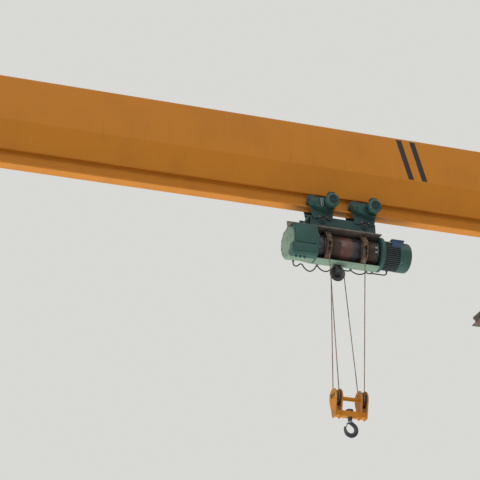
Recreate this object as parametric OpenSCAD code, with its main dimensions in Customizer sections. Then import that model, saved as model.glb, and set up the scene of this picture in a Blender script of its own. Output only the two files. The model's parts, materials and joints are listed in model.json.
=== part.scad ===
/* Single-girder overhead bridge crane with an underslung wire-rope hoist.
   Millimetres, Z up. X runs along the girder, Y along the two runway rails.
   The origin lies under the middle of the left rail, on the face of its foot. */

/* [Runway] */
// Distance between the centre lines of the two rails
span = 18000; // [16500:500:22500]
// Length of each runway rail
rail_l = 6000; // [5940:20:9000]
// Height of the rail
rail_h = 134; // [120:1:150]
// Width of the rail foot
rail_foot_w = 114; // [92:1:140]
// Width of the rail head
rail_head_w = 68; // [51:1:75]
// Height of the rail head
rail_head_h = 40; // [30:1:48]
// Thickness of the rail web
rail_web_t = 13; // [10:1:18]
// Thickness of the rail foot at its edge
rail_foot_t = 11; // [8:1:14]

/* [End trucks] */
// Length of an end truck
truck_l = 3000; // [2900:20:3050]
// Distance of a wheel's axle from the end of its truck
wheel_inset = 250; // [230:5:300]
// Width of a truck across its side plates
truck_w = 220; // [200:5:240]
// Height of a truck's box
truck_h = 400; // [360:10:460]
// Thickness of the truck's plates
truck_t = 8; // [6:1:12]
// Height of the truck's underside over the rail
truck_lift = 46; // [40:1:60]
// Tread diameter of a bridge wheel
wheel_d = 270; // [250:5:290]
// Height of a bridge wheel's flanges over its tread
wheel_flange_h = 18; // [14:1:22]
// Thickness of a bridge wheel's flange
wheel_flange_t = 18; // [14:1:22]
// Side play of the rail head between the wheel flanges
wheel_play = 12; // [10:1:16]
// Diameter of a bridge wheel's axle
axle_d = 60; // [45:1:75]
// Diameter of a rubber buffer
buffer_d = 125; // [90:5:160]
// Length of a rubber buffer
buffer_l = 110; // [80:5:150]

/* [Girder] */
// Overall height of the girder
girder_h = 1000; // [900:10:1100]
// Width of the girder's pressed box
girder_w = 340; // [280:10:420]
// Height of the girder's top over the rail
girder_rise = 580; // [520:10:640]
// Height at which the side plates turn inwards
knee_h = 470; // [400:10:540]
// Thickness of the box plates
plate_t = 6; // [5:1:10]
// Outer radius of the pressed top corners
press_r = 24; // [16:1:40]
// Height of the beam that carries the trolley
beam_h = 180; // [176:1:220]
// Width of the beam's flanges
beam_w = 130; // [120:1:150]
// Thickness of the beam's web
beam_web_t = 10; // [8:1:14]
// Thickness of the beam's top flange
beam_top_t = 12; // [10:1:14]
// Thickness of the beam's bottom flange
beam_flange_t = 18; // [14:1:22]
// Length over which the girder's lower corner is cut away at each end
end_cut = 420; // [360:10:500]
// Thickness of the girder's end plates
end_plate_t = 16; // [12:1:25]

/* [Trolley] */
// Distance of the hoist from the right rail
hoist_gap = 3200; // [3180:10:4000]
// Distance between the two trolley units
unit_pitch = 503; // [480:1:530]
// Distance between the axles of a trolley unit
unit_base = 210; // [190:1:230]
// Tread diameter of a trolley wheel
roller_d = 120; // [100:1:124]
// Height of a trolley wheel's flange over its tread
roller_flange_h = 14; // [10:1:16]
// Thickness of a trolley wheel's flange
roller_flange_t = 12; // [8:1:16]
// Width of a trolley wheel's tread
roller_tread_w = 42; // [34:1:46]
// Diameter of a trolley wheel's axle
roller_axle_d = 35; // [25:1:40]
// Thickness of the trolley's side plates
side_t = 12; // [10:1:16]
// Drop of the units' pins under the girder
pin_drop = 150; // [140:1:170]
// Diameter of the units' pins
pin_d = 40; // [30:1:50]
// Largest diameter of a travel motor
travel_motor_d = 156; // [130:1:164]
// Length of a travel motor
travel_motor_l = 150; // [135:5:200]
// Height of the carrying beams' top over the units' pins
balance_rise = 43; // [36:1:50]
// Length of the carrying beams
balance_l = 776; // [740:4:800]

/* [Hoist] */
// Distance of the gearbox's wall from the hoist's middle
wall_reach = 330; // [325:1:345]
// Distance of the motor's flange from the hoist's middle
ring_reach = 440; // [436:1:470]
// Distance of the top plate's end from the hoist's middle
plate_reach = 680; // [660:5:700]
// Outer radius of the hoist's shell
shell_r = 195; // [188:1:205]
// Thickness of the shell
shell_t = 8; // [6:1:10]
// Depth of the drum's axis under the girder
drum_drop = 440; // [430:1:500]
// Height of the hoist's top plate over the drum's axis
plate_rise = 158; // [156:1:168]
// Thickness of the top plate
top_plate_t = 12; // [8:1:16]
// Width of the top plate
top_plate_w = 360; // [320:5:400]
// Radius of the drum over its grooves
drum_r = 140; // [132:0.5:142]
// Length of the drum
drum_l = 715; // [705:5:735]
// Thickness of the drum's wall under the grooves
drum_wall = 14; // [10:1:20]
// Diameter of the wire rope
rope_d = 11; // [9:0.5:12]
// Distance between two turns of the rope on the drum
rope_pitch = 12; // [11.6:0.1:12.2]
// Length of the gearbox
gearbox_l = 296; // [260:4:330]
// Diameter of the hoist motor over its cooling ribs
motor_d = 326; // [310:2:350]
// Length of the hoist motor with its cowl
motor_l = 337; // [310:1:360]
// Length of the motor's fan cowl
cowl_l = 142; // [120:1:160]
// Radius of a rope sheave at the rope's centre line
sheave_r = 76; // [70:1:86]
// Width of a rope sheave
sheave_w = 38; // [34:1:44]
// Diameter of the cable under the shell
cable_d = 14; // [10:1:16]

/* [Hook] */
// Drop of the hook block's sheaves under the equalising sheave
hook_drop = 1500; // [1400:50:2500]
// Diameter of the hook's shank
shank_d = 46; // [40:1:50]
// Inner radius of the hook's bowl
bowl_r = 42; // [38:1:48]
// Thickness of the hook at the bottom of its bowl
hook_t = 54; // [46:1:60]
// Width of the hook across its inner side
hook_w = 44; // [36:1:50]

/* [Hidden] */
$fn = 64;

run_gap = 0.3;     // rolling faces stand this far apart
fit_gap = 0.05;    // radial clearance of a shaft in its bore
move_gap = 5;      // least distance between pieces that pass each other

// Bridge wheels and trucks
wheel_r = wheel_d/2;
wheel_base = truck_l - 2*wheel_inset;
axle_z = rail_h + wheel_r + run_gap;
truck_z = rail_h + truck_lift;
truck_in = truck_w - 2*truck_t;
wheel_groove = rail_head_w + wheel_play;
wheel_w = wheel_groove + 2*wheel_flange_t;
wheel_y = [-wheel_base/2, wheel_base/2];
pocket_l = wheel_d + 2*wheel_flange_h + 30;
pad_t = 20;
pad_w = 150;
cap_r = axle_d/2 + 24;
cap_l = 26;
axle_out = 6;

// Girder
girder_z = rail_h + girder_rise - girder_h;
girder_x0 = truck_w/2 + end_plate_t;
beam_x0 = girder_x0 + end_cut;
beam_top = girder_z + beam_h;
flange_top = girder_z + beam_flange_t;
stop_l = 60;
stop_w = 50;
stop_x = beam_x0 + 60;

// Trolley
hoist_x = span - hoist_gap;
unit_mid = 26;
unit_x = [hoist_x + unit_mid - unit_pitch/2, hoist_x + unit_mid + unit_pitch/2];
roller_x = [unit_x[0] - unit_base/2, unit_x[0] + unit_base/2,
            unit_x[1] - unit_base/2, unit_x[1] + unit_base/2];
roller_z = flange_top + roller_d/2 + run_gap;
roller_y1 = beam_w/2 + move_gap;
roller_y0 = roller_y1 - roller_tread_w;
roller_y2 = roller_y1 + roller_flange_t;
side_y = roller_y2 + move_gap;
side_lobe_r = roller_d/2 - 8;
pin_lobe_r = pin_d/2 + 26;
pin_z = girder_z - pin_drop;
pin_r = pin_d/2;
axle_head_r = roller_axle_d/2 + 9;
axle_head_l = 12;
side_low = girder_z - 142;
side_low_w = 226;
balance_y = side_y - 3;
balance_t = 12;
travel_x = 55;
travel_z = girder_z + 14;
travel_y = side_y + side_t;
travel_box_l = 56;
travel_lobe = [-112, girder_z + 36];
travel_lobe_r = 54;

// Hoist
drum_z = girder_z - drum_drop;
plate_z = drum_z + plate_rise;
ring_x = hoist_x + ring_reach;
ring_t = 36;
wall_x = hoist_x - wall_reach;
wall_t = 20;
plate_x0 = hoist_x - plate_reach;
gearbox_x0 = wall_x - gearbox_l;
strip_a = 24;
shaft_r = 26;
drum_x0 = wall_x + wall_t + move_gap;
groove_r = rope_d/2 + run_gap;
drum_pitch_r = drum_r - 3 + groove_r;
drum_lip = 9;
groove_turns = 16;
free_turns = 3;
groove_l = (groove_turns - 1)*rope_pitch;
groove_x = [drum_x0 + 82, drum_x0 + drum_l - 24 - groove_l];
guide_x = [for (x = groove_x) x + free_turns*rope_pitch];
guide_w = 60;
guide_in = drum_pitch_r + rope_d/2 + 6;
guide_out = shell_r - shell_t - 0.2;
motor_r = motor_d/2;
motor_x = ring_x + ring_t;

// Ropes and hook block
eq_x = hoist_x - 30;
eq_y = 20;
sheave_lip = 9;
sheave_rim = sheave_r + sheave_lip;
eq_z = drum_z - shell_r - sheave_rim - 6;
sheave_pin_r = 18;
fall_x = [eq_x - sheave_r, eq_x + sheave_r];
block_x = [for (i = [0, 1]) (guide_x[i] + fall_x[i])/2];
hook_x = (block_x[0] + block_x[1])/2;
lead_l = 62;
block_z = eq_z - hook_drop;
block_y = (eq_y - drum_pitch_r)/2;
block_r = (eq_y + drum_pitch_r)/2;
block_rim = block_r + sheave_lip;
block_pin_r = 22;
cheek_in = sheave_w/2 + 8;
cheek_t = 12;
cheek_r = block_rim + 10;
cross_h = 60;
cross_z = block_z - block_rim - 84;
hook_z = cross_z - 165;
latch_pin = [4, 82];
latch_pin_r = 5;

// Cable under the shell: places of its ties and the sag after each of them
cable_y = 90;
tie_x = [-425, -240, -55, 55, 160, 345, 415];
tie_sag = [75, 52, 10, 10, 32, 5];
cable_r = cable_d/2;
cable_z = -sqrt(pow(shell_r, 2) - pow(cable_y - 15, 2)) - cable_r - 6;

// Lays a shape drawn in Y and Z along X
module along_x(x0, len) {
    translate([x0, 0, 0]) rotate([90, 0, 90]) linear_extrude(len) children();
}

// A cylinder along X, from x0, centred on y and z
module rod_x(x0, len, r, y, z) {
    translate([x0, y, z]) rotate([0, 90, 0]) cylinder(r = r, h = len);
}

// A cylinder along Y, from y0, centred on x and z
module rod_y(y0, len, r, x, z) {
    translate([x, y0, z]) rotate([-90, 0, 0]) cylinder(r = r, h = len);
}

// A box from its lowest corner and its size
module block(p, s) {
    translate(p) cube(s);
}

// Draws its children at both ends of the girder, facing each other
module both_ends() {
    children();
    translate([span, 0, 0]) mirror([1, 0, 0]) children();
}

// Draws its children on both sides of the girder
module both_sides() {
    children();
    mirror([0, 1, 0]) children();
}

// Points of an arc
function arc(c, r, a0, a1, n) = [for (i = [0:n]) let (a = a0 + (a1 - a0)*i/n)
    c + r*[cos(a), sin(a)]];

// An outline's right half, from the bottom up, with its mirror image added
function both_halves(side) = concat(side,
    [for (i = [len(side) - 1:-1:0]) [-side[i][0], side[i][1]]]);

// A closed solid through rings of points that all have the same length
module loft(rings) {
    n = len(rings[0]);
    last = len(rings) - 1;
    polyhedron(
        points = [for (ring = rings, p = ring) p],
        faces = concat(
            [[for (i = [n - 1:-1:0]) i]],
            [for (k = [0:last - 1], i = [0:n - 1]) let (j = (i + 1)%n)
                [k*n + j, (k + 1)*n + j, (k + 1)*n + i, k*n + i]],
            [[for (i = [0:n - 1]) last*n + i]]
        )
    );
}

// Runway

module rail(x) {
    neck = rail_h - rail_head_h;
    side = concat(
        [[rail_foot_w/2, 0], [rail_foot_w/2, rail_foot_t], [rail_web_t/2 + 8, rail_foot_t + 9]],
        arc([rail_web_t/2 + 10, rail_foot_t + 21], 10, 250, 180, 4),
        [[rail_web_t/2, neck - 12], [rail_web_t/2 + 5, neck - 5], [rail_head_w/2 - 2, neck + 4]],
        arc([rail_head_w/2 - 10, rail_h - 10], 10, 0, 90, 5)
    );
    color("dimgray") translate([x, rail_l/2, 0]) rotate([90, 0, 0])
        linear_extrude(rail_l) polygon(both_halves(side));
}

module left_rail() { rail(0); }

module right_rail() { rail(span); }

// Girder

module box_outline(in) {
    half = girder_w/2 - in;
    r = press_r - in;
    polygon(both_halves(concat(
        [[beam_w/2 - in, beam_top], [half, girder_z + knee_h]],
        arc([half - r, girder_z + girder_h - in - r], r, 0, 90, 6)
    )));
}

// Side view of the corner that is cut away at the girder's left end
module end_cut_2d(lift) {
    polygon([[truck_w/2 - 1, girder_z - 1], [beam_x0 + 1, girder_z - 1], [beam_x0 + 1, beam_top + lift],
             [beam_x0, beam_top + lift], [girder_x0, truck_z + lift], [truck_w/2 - 1, truck_z + lift]]);
}

module end_cut_solid(lift) {
    translate([0, girder_w, 0]) rotate([90, 0, 0]) linear_extrude(2*girder_w) end_cut_2d(lift);
}

module girder_box() {
    color("orange") difference() {
        along_x(girder_x0, span - 2*girder_x0) difference() {
            box_outline(0);
            difference() {
                box_outline(plate_t);
                translate([-girder_w, beam_top - 1]) square([2*girder_w, 1]);
            }
        }
        both_ends() end_cut_solid(0);
    }
}

// The rolled beam, with the fillets between its web and flanges
module girder_beam() {
    fillet = 9;
    web = beam_web_t/2;
    side = concat(
        [[beam_w/2, girder_z], [beam_w/2, flange_top]],
        arc([web + fillet, flange_top + fillet], fillet, 270, 180, 4),
        arc([web + fillet, beam_top - beam_top_t - fillet], fillet, 180, 90, 4),
        [[beam_w/2, beam_top - beam_top_t], [beam_w/2, beam_top]]
    );
    color("orange") along_x(beam_x0, span - 2*beam_x0) polygon(both_halves(side));
}

// Plate that closes the slanted cut of the girder's left end
module cut_plate() {
    intersection() {
        along_x(girder_x0, end_cut) box_outline(plate_t + run_gap);
        difference() {
            end_cut_solid(12);
            end_cut_solid(0.5);
        }
    }
}

// Gusset between the girder's side plate and its left end plate
module end_gusset(z) {
    reach = 120;
    side = girder_w/2;
    translate([0, 0, z]) linear_extrude(10)
        polygon([[girder_x0 - 1, side], [girder_x0 + reach, side], [girder_x0 + reach, side + 8],
                 [girder_x0 + 8, side + 55], [girder_x0 - 1, side + 55]]);
}

module girder_end_plates() {
    w = girder_w + 120;
    h = girder_z + girder_h - truck_z - 8;
    color("orange") both_ends() {
        cut_plate();
        block([truck_w/2, -w/2, truck_z + 4], [end_plate_t, w, h]);
        for (rise = [40, 220]) both_sides() end_gusset(girder_z + knee_h + rise);
    }
}

module trolley_stops() {
    h = 84;
    color("firebrick") both_ends() both_sides() {
        block([stop_x, beam_w/2 - stop_w, flange_top], [stop_l, stop_w, h]);
        rod_x(stop_x + stop_l, 30, 22, beam_w/2 - stop_w/2, flange_top + h/2);
    }
}

// End trucks

module truck_plates() {
    difference() {
        block([-truck_w/2, -truck_l/2, truck_z], [truck_w, truck_l, truck_h]);
        block([-truck_in/2, -truck_l/2 + truck_t, truck_z + truck_t],
              [truck_in, truck_l - 2*truck_t, truck_h - 2*truck_t]);
    }
    for (y = wheel_y, s = [-1, 1])
        block([-truck_in/2, y + s*(pocket_l/2 + truck_t/2) - truck_t/2, truck_z],
              [truck_in, truck_t, truck_h]);
}

module truck(x) {
    color("orange") translate([x, 0, 0]) difference() {
        union() {
            truck_plates();
            for (y = wheel_y, s = [-1, 1])
                block([s*(truck_w/2 + pad_t/2) - pad_t/2, y - pad_w/2, truck_z + 4],
                      [pad_t, pad_w, axle_z - truck_z + pad_w/2]);
        }
        for (y = wheel_y) {
            block([-truck_in/2, y - pocket_l/2, truck_z - 1], [truck_in, pocket_l, truck_t + 2]);
            rod_x(-truck_w, 2*truck_w, axle_d/2, y, axle_z);
        }
    }
}

module left_truck() { truck(0); }

module right_truck() { truck(span); }

module truck_axles() {
    half = truck_w/2 + pad_t + axle_out;
    color("silver") both_ends()
        for (y = wheel_y) rod_x(-half, 2*half, axle_d/2, y, axle_z);
}

// Covers over the bearings, on every axle end that has no drive
module axle_caps() {
    x = truck_w/2 + pad_t;
    color("darkorange") both_ends() {
        for (y = wheel_y) axle_cap(-x, y, -1);
        axle_cap(x, wheel_y[0], 1);
    }
}

module axle_cap(x, y, s) {
    translate([x, y, axle_z]) rotate([0, 90*s, 0]) rotate_extrude()
        polygon([[axle_d/2 + 0.5, 0], [cap_r + 14, 0], [cap_r + 14, 8], [cap_r, 8], [cap_r, cap_l - 5],
                 [cap_r - 5, cap_l], [0, cap_l], [0, axle_out + 2], [axle_d/2 + 0.5, axle_out + 2]]);
}

module buffers() {
    color("dimgray") both_ends() both_sides()
        translate([0, truck_l/2, truck_z + truck_h/2]) rotate([-90, 0, 0]) rotate_extrude()
            polygon([[0, 0], [buffer_d/2 + 16, 0], [buffer_d/2 + 16, 10], [buffer_d/2 - 6, 12],
                     [buffer_d/2, 34], [buffer_d/2, buffer_l - 30], [buffer_d/2 - 9, buffer_l - 9],
                     [buffer_d/2 - 30, buffer_l], [0, buffer_l]]);
}

module wheel_profile() {
    bore = axle_d/2 + fit_gap;
    hub = axle_d/2 + 28;
    hub_half = truck_in/2 - move_gap;
    rim = wheel_r - 26;
    half = wheel_w/2;
    groove = wheel_groove/2;
    web = 14;
    flange_r = wheel_r + wheel_flange_h;
    side = [
        [bore, -hub_half], [hub - 4, -hub_half], [hub, -hub_half + 4], [hub + 6, -web - 4],
        [hub + 12, -web], [rim - 12, -web], [rim, -web - 8], [rim + 4, -half],
        [flange_r - 6, -half], [flange_r, -half + 5], [flange_r - 2, -groove - 3], [wheel_r + 3, -groove],
        [wheel_r, -groove + 4]
    ];
    last = len(side) - 1;
    polygon(concat(side, [for (i = [last:-1:0]) [side[i][0], -side[i][1]]]));
}

module bridge_wheel(x, y) {
    color("slategray") translate([x, y, axle_z]) rotate([0, 90, 0])
        rotate_extrude() wheel_profile();
}

module left_front_wheel() { bridge_wheel(0, wheel_y[0]); }

module left_rear_wheel() { bridge_wheel(0, wheel_y[1]); }

module right_front_wheel() { bridge_wheel(span, wheel_y[0]); }

module right_rear_wheel() { bridge_wheel(span, wheel_y[1]); }

// Each truck's rear wheel is driven from the inner side
drive_x = truck_w/2 + pad_t;
drive_r = 92;
drive_in_r = 74;
drive_rise = 140;
drive_t = 104;
drive_motor_r = 78;
drive_motor_l = 250;

module drive_gearboxes() {
    color("seagreen") both_ends() translate([0, wheel_y[1], axle_z]) difference() {
        union() {
            along_x(drive_x, drive_t) hull() {
                circle(r = drive_r);
                translate([0, drive_rise]) circle(r = drive_in_r);
            }
            rod_x(drive_x + drive_t, 12, 40, 0, 0);
        }
        rod_x(drive_x - 1, axle_out + 3, axle_d/2 + 1, 0, 0);
    }
}

// Outline of a motor's body with its cooling ribs
module ribbed(r, depth, ribs) {
    step = 360/ribs;
    polygon([for (i = [0:ribs - 1], k = [0:3])
        let (a = i*step + [0, 0.3, 0.36, 0.94][k]*step, q = k < 2 ? r : r - depth)
        q*[cos(a), sin(a)]]);
}

module drive_motors() {
    color("steelblue") both_ends()
        translate([drive_x + drive_t, wheel_y[1], axle_z + drive_rise]) rotate([0, 90, 0]) {
            cylinder(r = drive_motor_r, h = 16);
            linear_extrude(drive_motor_l - 70) ribbed(drive_motor_r - 4, 12, 32);
            translate([0, 0, drive_motor_l - 70]) rotate_extrude()
                polygon([[0, 0], [drive_motor_r, 0], [drive_motor_r, 56], [drive_motor_r - 14, 70], [0, 70]]);
        }
}

// Trolley

module side_plate_2d() {
    difference() {
        hull() {
            for (x = [-unit_base/2, unit_base/2])
                translate([x, roller_z]) circle(r = side_lobe_r, $fn = 32);
            translate([-side_low_w/2, side_low]) square([side_low_w, 40]);
        }
        side_holes_2d();
    }
    difference() {
        translate([0, pin_z]) circle(r = pin_lobe_r, $fn = 32);
        translate([-pin_lobe_r, side_low]) square([2*pin_lobe_r, 2*pin_lobe_r]);
        side_holes_2d();
    }
}

module side_holes_2d() {
    translate([0, pin_z]) circle(r = pin_r);
    for (x = [-unit_base/2, unit_base/2])
        translate([x, roller_z]) circle(r = roller_axle_d/2);
}

module trolley_side_plates() {
    color("seagreen") both_sides()
        for (x = unit_x) translate([x, -side_y, 0])
            rotate([90, 0, 0]) linear_extrude(side_t) side_plate_2d();
}

module roller_axles() {
    color("dimgray") both_sides()
        for (x = roller_x) {
            rod_y(-travel_y, travel_y - roller_y0, roller_axle_d/2, x, roller_z);
            rod_y(-travel_y - axle_head_l, axle_head_l, axle_head_r, x, roller_z);
        }
}

module roller_pair(i) {
    bore = roller_axle_d/2 + fit_gap;
    r = roller_d/2;
    flange_r = r + roller_flange_h;
    color("dimgray") translate([roller_x[i], 0, roller_z]) both_sides()
        rotate([90, 0, 0]) rotate_extrude()
            polygon([
                [bore, roller_y0], [r - 3, roller_y0], [r, roller_y0 + 3], [r, roller_y1],
                [flange_r - 3, roller_y1 + 2], [flange_r, roller_y1 + 5], [flange_r, roller_y2 - 2],
                [flange_r - 2, roller_y2], [r - 14, roller_y2], [r - 16, roller_y2 - 4],
                [roller_axle_d/2 + 12, roller_y2 - 4], [roller_axle_d/2 + 10, roller_y2], [bore, roller_y2]
            ]);
}

module rollers_1() { roller_pair(0); }

module rollers_2() { roller_pair(1); }

module rollers_3() { roller_pair(2); }

module rollers_4() { roller_pair(3); }

// Turned about the axis of a travel drive, which points away from the girder's front
module travel_turned(x, y) {
    translate([x + travel_x, -y, travel_z]) rotate([90, 0, 0]) rotate_extrude() children();
}

// A flat case covers the gears between the drive and the unit's left wheel
module travel_case_2d(in) {
    hull() {
        translate([travel_x, travel_z]) circle(r = travel_motor_d/2 + 4 - in);
        translate(travel_lobe) circle(r = travel_lobe_r - in);
    }
}

module travel_gearboxes() {
    rim = 14;
    for (x = unit_x) color("seagreen") difference() {
        translate([x, -travel_y, 0]) rotate([90, 0, 0]) {
            linear_extrude(rim) travel_case_2d(0);
            linear_extrude(travel_box_l) travel_case_2d(6);
            translate([travel_lobe[0], travel_lobe[1], travel_box_l]) cylinder(r = 30, h = 8);
        }
        for (dx = [-unit_base/2, unit_base/2])
            rod_y(-travel_y - axle_head_l - 2, axle_head_l + 3, axle_head_r + 2, x + dx, roller_z);
    }
}

module travel_motors() {
    r = travel_motor_d/2;
    l = travel_motor_l;
    for (x = unit_x) color("seagreen") travel_turned(x, travel_y + travel_box_l)
        polygon([[0, 0], [r - 4, 0], [r - 4, 12], [r - 14, 16], [r - 14, l - 70], [r - 2, l - 64],
                 [r, l - 60], [r, l - 16], [r - 6, l - 5], [r - 16, l], [r - 26, l], [r - 30, l - 7],
                 [0, l - 7]]);
}

// Two beams stand on the hoist's top plate; the pins of the trolley's units pass through them
module balance_beam() {
    x0 = hoist_x + 22 - balance_l/2;
    x1 = x0 + balance_l;
    base = plate_z + top_plate_t;
    top = pin_z + balance_rise;
    color("darkgreen") both_sides() translate([0, balance_t - balance_y, 0]) rotate([90, 0, 0])
        linear_extrude(balance_t) difference() {
            polygon(concat([[x0, base], [x1, base]], arc([x1 - 20, top - 20], 20, 0, 90, 5),
                           [[x0 - 66, top], [x0 - 66, top - 24], [x0 + 2, top - 24]]));
            for (x = unit_x) translate([x, pin_z]) circle(r = pin_r);
        }
}

module balance_pins() {
    half = travel_y + 12;
    for (x = unit_x) color("silver") {
        rod_y(-half, 2*half, pin_r, x, pin_z);
        for (y = [-half, travel_y]) rod_y(y, 12, pin_r + 8, x, pin_z);
    }
}

// Cross plates tie the two beams together, and a slanted stay steadies their end
module hoist_lugs() {
    base = plate_z + top_plate_t;
    in = balance_y - balance_t;
    top = pin_z + balance_rise - 24;
    foot = hoist_x - balance_l/2 - 95;
    color("darkgreen") {
        for (dx = [-150, 150])
            block([hoist_x + unit_mid + dx - 40, -in, base], [80, 2*in, pin_z + 20 - base]);
        translate([0, -in, 0]) rotate([90, 0, 0]) linear_extrude(56)
            polygon([[foot, base], [foot + 16, base], [foot + 92, top - 22], [foot + 92, top],
                     [foot + 78, top]]);
    }
}

// Hoist

module hoist_plate() {
    half = top_plate_w/2;
    color("darkslategray") translate([0, 0, plate_z]) linear_extrude(top_plate_t)
        polygon([[plate_x0, -half], [ring_x, -half], [ring_x, half], [plate_x0 + 150, half],
                 [plate_x0, 20 - half]]);
}

// The shell is rolled plate: closed under and behind the drum, open to the front
module hoist_shell() {
    top_a = asin(plate_rise/shell_r);
    out = 2*shell_r;
    color("seagreen") intersection() {
        along_x(wall_x + wall_t, ring_x - wall_x - wall_t) translate([0, drum_z]) difference() {
            circle(r = shell_r);
            circle(r = shell_r - shell_t);
        }
        along_x(wall_x, ring_x - wall_x + 1) translate([0, drum_z])
            polygon([[0, 0], out*[-sin(strip_a), -cos(strip_a)], [out, -out], [out, plate_rise],
                     [0, plate_rise]]);
    }
}

// The gearbox wall and the motor flange carry the drum's shaft
module hoist_rings() {
    color("seagreen") difference() {
        union() {
            rod_x(ring_x, ring_t, shell_r, 0, drum_z);
            intersection() {
                rod_x(wall_x, wall_t, shell_r, 0, drum_z);
                block([wall_x, -shell_r, drum_z - shell_r],
                      [wall_t, 2*shell_r, shell_r + plate_rise]);
            }
        }
        rod_x(wall_x - 1, ring_x - wall_x + ring_t + 2, shaft_r + fit_gap, 0, drum_z);
    }
}

module gearbox() {
    r = shell_r - 5;
    color("mediumaquamarine") intersection() {
        translate([wall_x, 0, drum_z]) rotate([0, -90, 0]) rotate_extrude()
            polygon([[0, 0], [r + 5, 0], [r + 5, 14], [r, 16], [r, 70], [r - 6, 76], [r - 6, gearbox_l - 50],
                     [r, gearbox_l - 44], [r, gearbox_l - 18], [r - 18, gearbox_l], [110, gearbox_l],
                     [104, gearbox_l + 8], [0, gearbox_l + 8]]);
        block([gearbox_x0 - 20, -2*shell_r, drum_z - 2*shell_r],
              [gearbox_l + 40, 4*shell_r, 2*shell_r + plate_rise]);
    }
}

// The box on the gearbox's front has a deeper lower half
module switch_box() {
    front = 212;
    back = 118;
    mid = drum_z - 94;
    low = drum_z - shell_r - 28;
    color("seagreen") difference() {
        union() {
            block([gearbox_x0 + 18, -front, mid], [gearbox_l - 25, front - back, plate_z - 12 - mid]);
            along_x(gearbox_x0 - 20, gearbox_l)
                polygon([[-front - 18, mid], [-back + 20, mid], [-back + 20, low + 40], [-back - 10, low],
                         [-front + 10, low], [-front - 18, low + 22]]);
        }
        rod_x(gearbox_x0 - 30, gearbox_l + 40, shell_r + 0.2, 0, drum_z);
    }
}

// A ring round the drum leads the rope to its groove; the rope leaves through its slot
module rope_guides() {
    for (x = guide_x) color("peru") difference() {
        translate([x, 0, drum_z]) rotate([0, 90, 0]) rotate_extrude()
            polygon([[guide_in, -guide_w/2], [guide_out - 6, -guide_w/2], [guide_out - 6, -guide_w/4],
                     [guide_out, -guide_w/4], [guide_out, guide_w/4], [guide_out - 6, guide_w/4],
                     [guide_out - 6, guide_w/2], [guide_in, guide_w/2]]);
        block([x - guide_w, -guide_out - 1, plate_z], [2*guide_w, 2*guide_out + 2, guide_out]);
        block([x - 12, -guide_out - 1, drum_z - guide_out], [24, guide_out + 1 - guide_in*0.82, guide_out]);
    }
}

module hoist_motor() {
    l = motor_l - cowl_l;
    color("darkslategray") translate([motor_x, 0, drum_z]) rotate([0, 90, 0]) {
        cylinder(r = motor_r - 4, h = 20);
        linear_extrude(l) ribbed(motor_r, 22, 44);
    }
}

module motor_cowl() {
    r = motor_r + 4;
    color("seagreen") translate([motor_x + motor_l - cowl_l, 0, drum_z]) rotate([0, 90, 0])
        rotate_extrude() polygon(concat([[0, 0], [r, 0]], arc([r - 34, cowl_l - 34], 34, 0, 90, 5),
            [[r - 50, cowl_l], [r - 56, cowl_l - 6], [0, cowl_l - 6]]));
}

module terminal_box() {
    x0 = motor_x + 95;
    z0 = drum_z + 50;
    l = 140;
    w = 110;
    color("steelblue") difference() {
        union() {
            block([x0, -motor_r + 6, z0], [l, w, 80]);
            block([x0 - 6, -motor_r, z0 + 76], [l + 12, w + 12, 12]);
        }
        rod_x(motor_x, motor_l - cowl_l, motor_r + 0.2, 0, drum_z);
        rod_x(motor_x + motor_l - cowl_l - 0.2, cowl_l, motor_r + 4.2, 0, drum_z);
    }
}

// The cable that links the switch box and the motor hangs in loops from its ties
cable_route = concat(
    [[-520, cable_z + 14], [-520, cable_z - 8], [-511, cable_z - 26], [-490, cable_z - 34],
     [-465, cable_z - 24], [-445, cable_z - 6]],
    [for (i = [0:len(tie_sag) - 1], k = [0:5])
        let (u = k/6, x = tie_x[i] + u*(tie_x[i + 1] - tie_x[i]))
        [x, cable_z - tie_sag[i]*sin(180*u)]],
    [[tie_x[6], cable_z], [455, cable_z], [520, cable_z], [560, cable_z + 1], [585, cable_z + 12],
     [595, cable_z + 32], [595, cable_z + 42]]
);

function cable_ring(i) =
    let (last = len(cable_route) - 1,
         p = cable_route[i],
         d = cable_route[min(i + 1, last)] - cable_route[max(i - 1, 0)],
         n = [-d[1], d[0]]/norm(d))
    [for (k = [0:7]) [hoist_x + p[0] + cable_r*cos(45*k)*n[0], cable_y + cable_r*sin(45*k),
                      drum_z + p[1] + cable_r*cos(45*k)*n[1]]];

module hoist_cable() {
    color("dimgray") loft([for (i = [0:len(cable_route) - 1]) cable_ring(i)]);
}

// Glands where the cable leaves the gearbox and enters the motor
module cable_gland(p, r) {
    color("dimgray") difference() {
        translate([hoist_x + p[0], cable_y, drum_z + p[1]]) {
            cylinder(r = 11, h = 60);
            translate([0, 0, 6]) cylinder(r = 15, h = 54, $fn = 6);
        }
        rod_x(hoist_x + p[0] - 50, 100, r, 0, drum_z);
    }
}

// Clips under the shell that straddle the cable
module cable_clips() {
    half = 15;
    low = cable_z - 2;
    a = [for (y = [cable_y - half, cable_y + half]) -acos(y/(shell_r + fit_gap))];
    cable_gland(cable_route[0], shell_r - 11 + fit_gap);
    cable_gland(cable_route[len(cable_route) - 1], motor_r + fit_gap);
    for (i = [1:len(tie_x) - 1]) color("dimgray")
        along_x(hoist_x + tie_x[i] - 8, 16) translate([0, drum_z]) difference() {
            polygon(concat([[cable_y - half, low]], arc([0, 0], shell_r + fit_gap, a[0], a[1], 5),
                           [[cable_y + half, low]]));
            translate([cable_y, cable_z]) circle(r = cable_r + fit_gap, $fn = 32);
            translate([cable_y - cable_r, low - 1]) square([2*cable_r, cable_z - low + 1]);
        }
}

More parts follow.
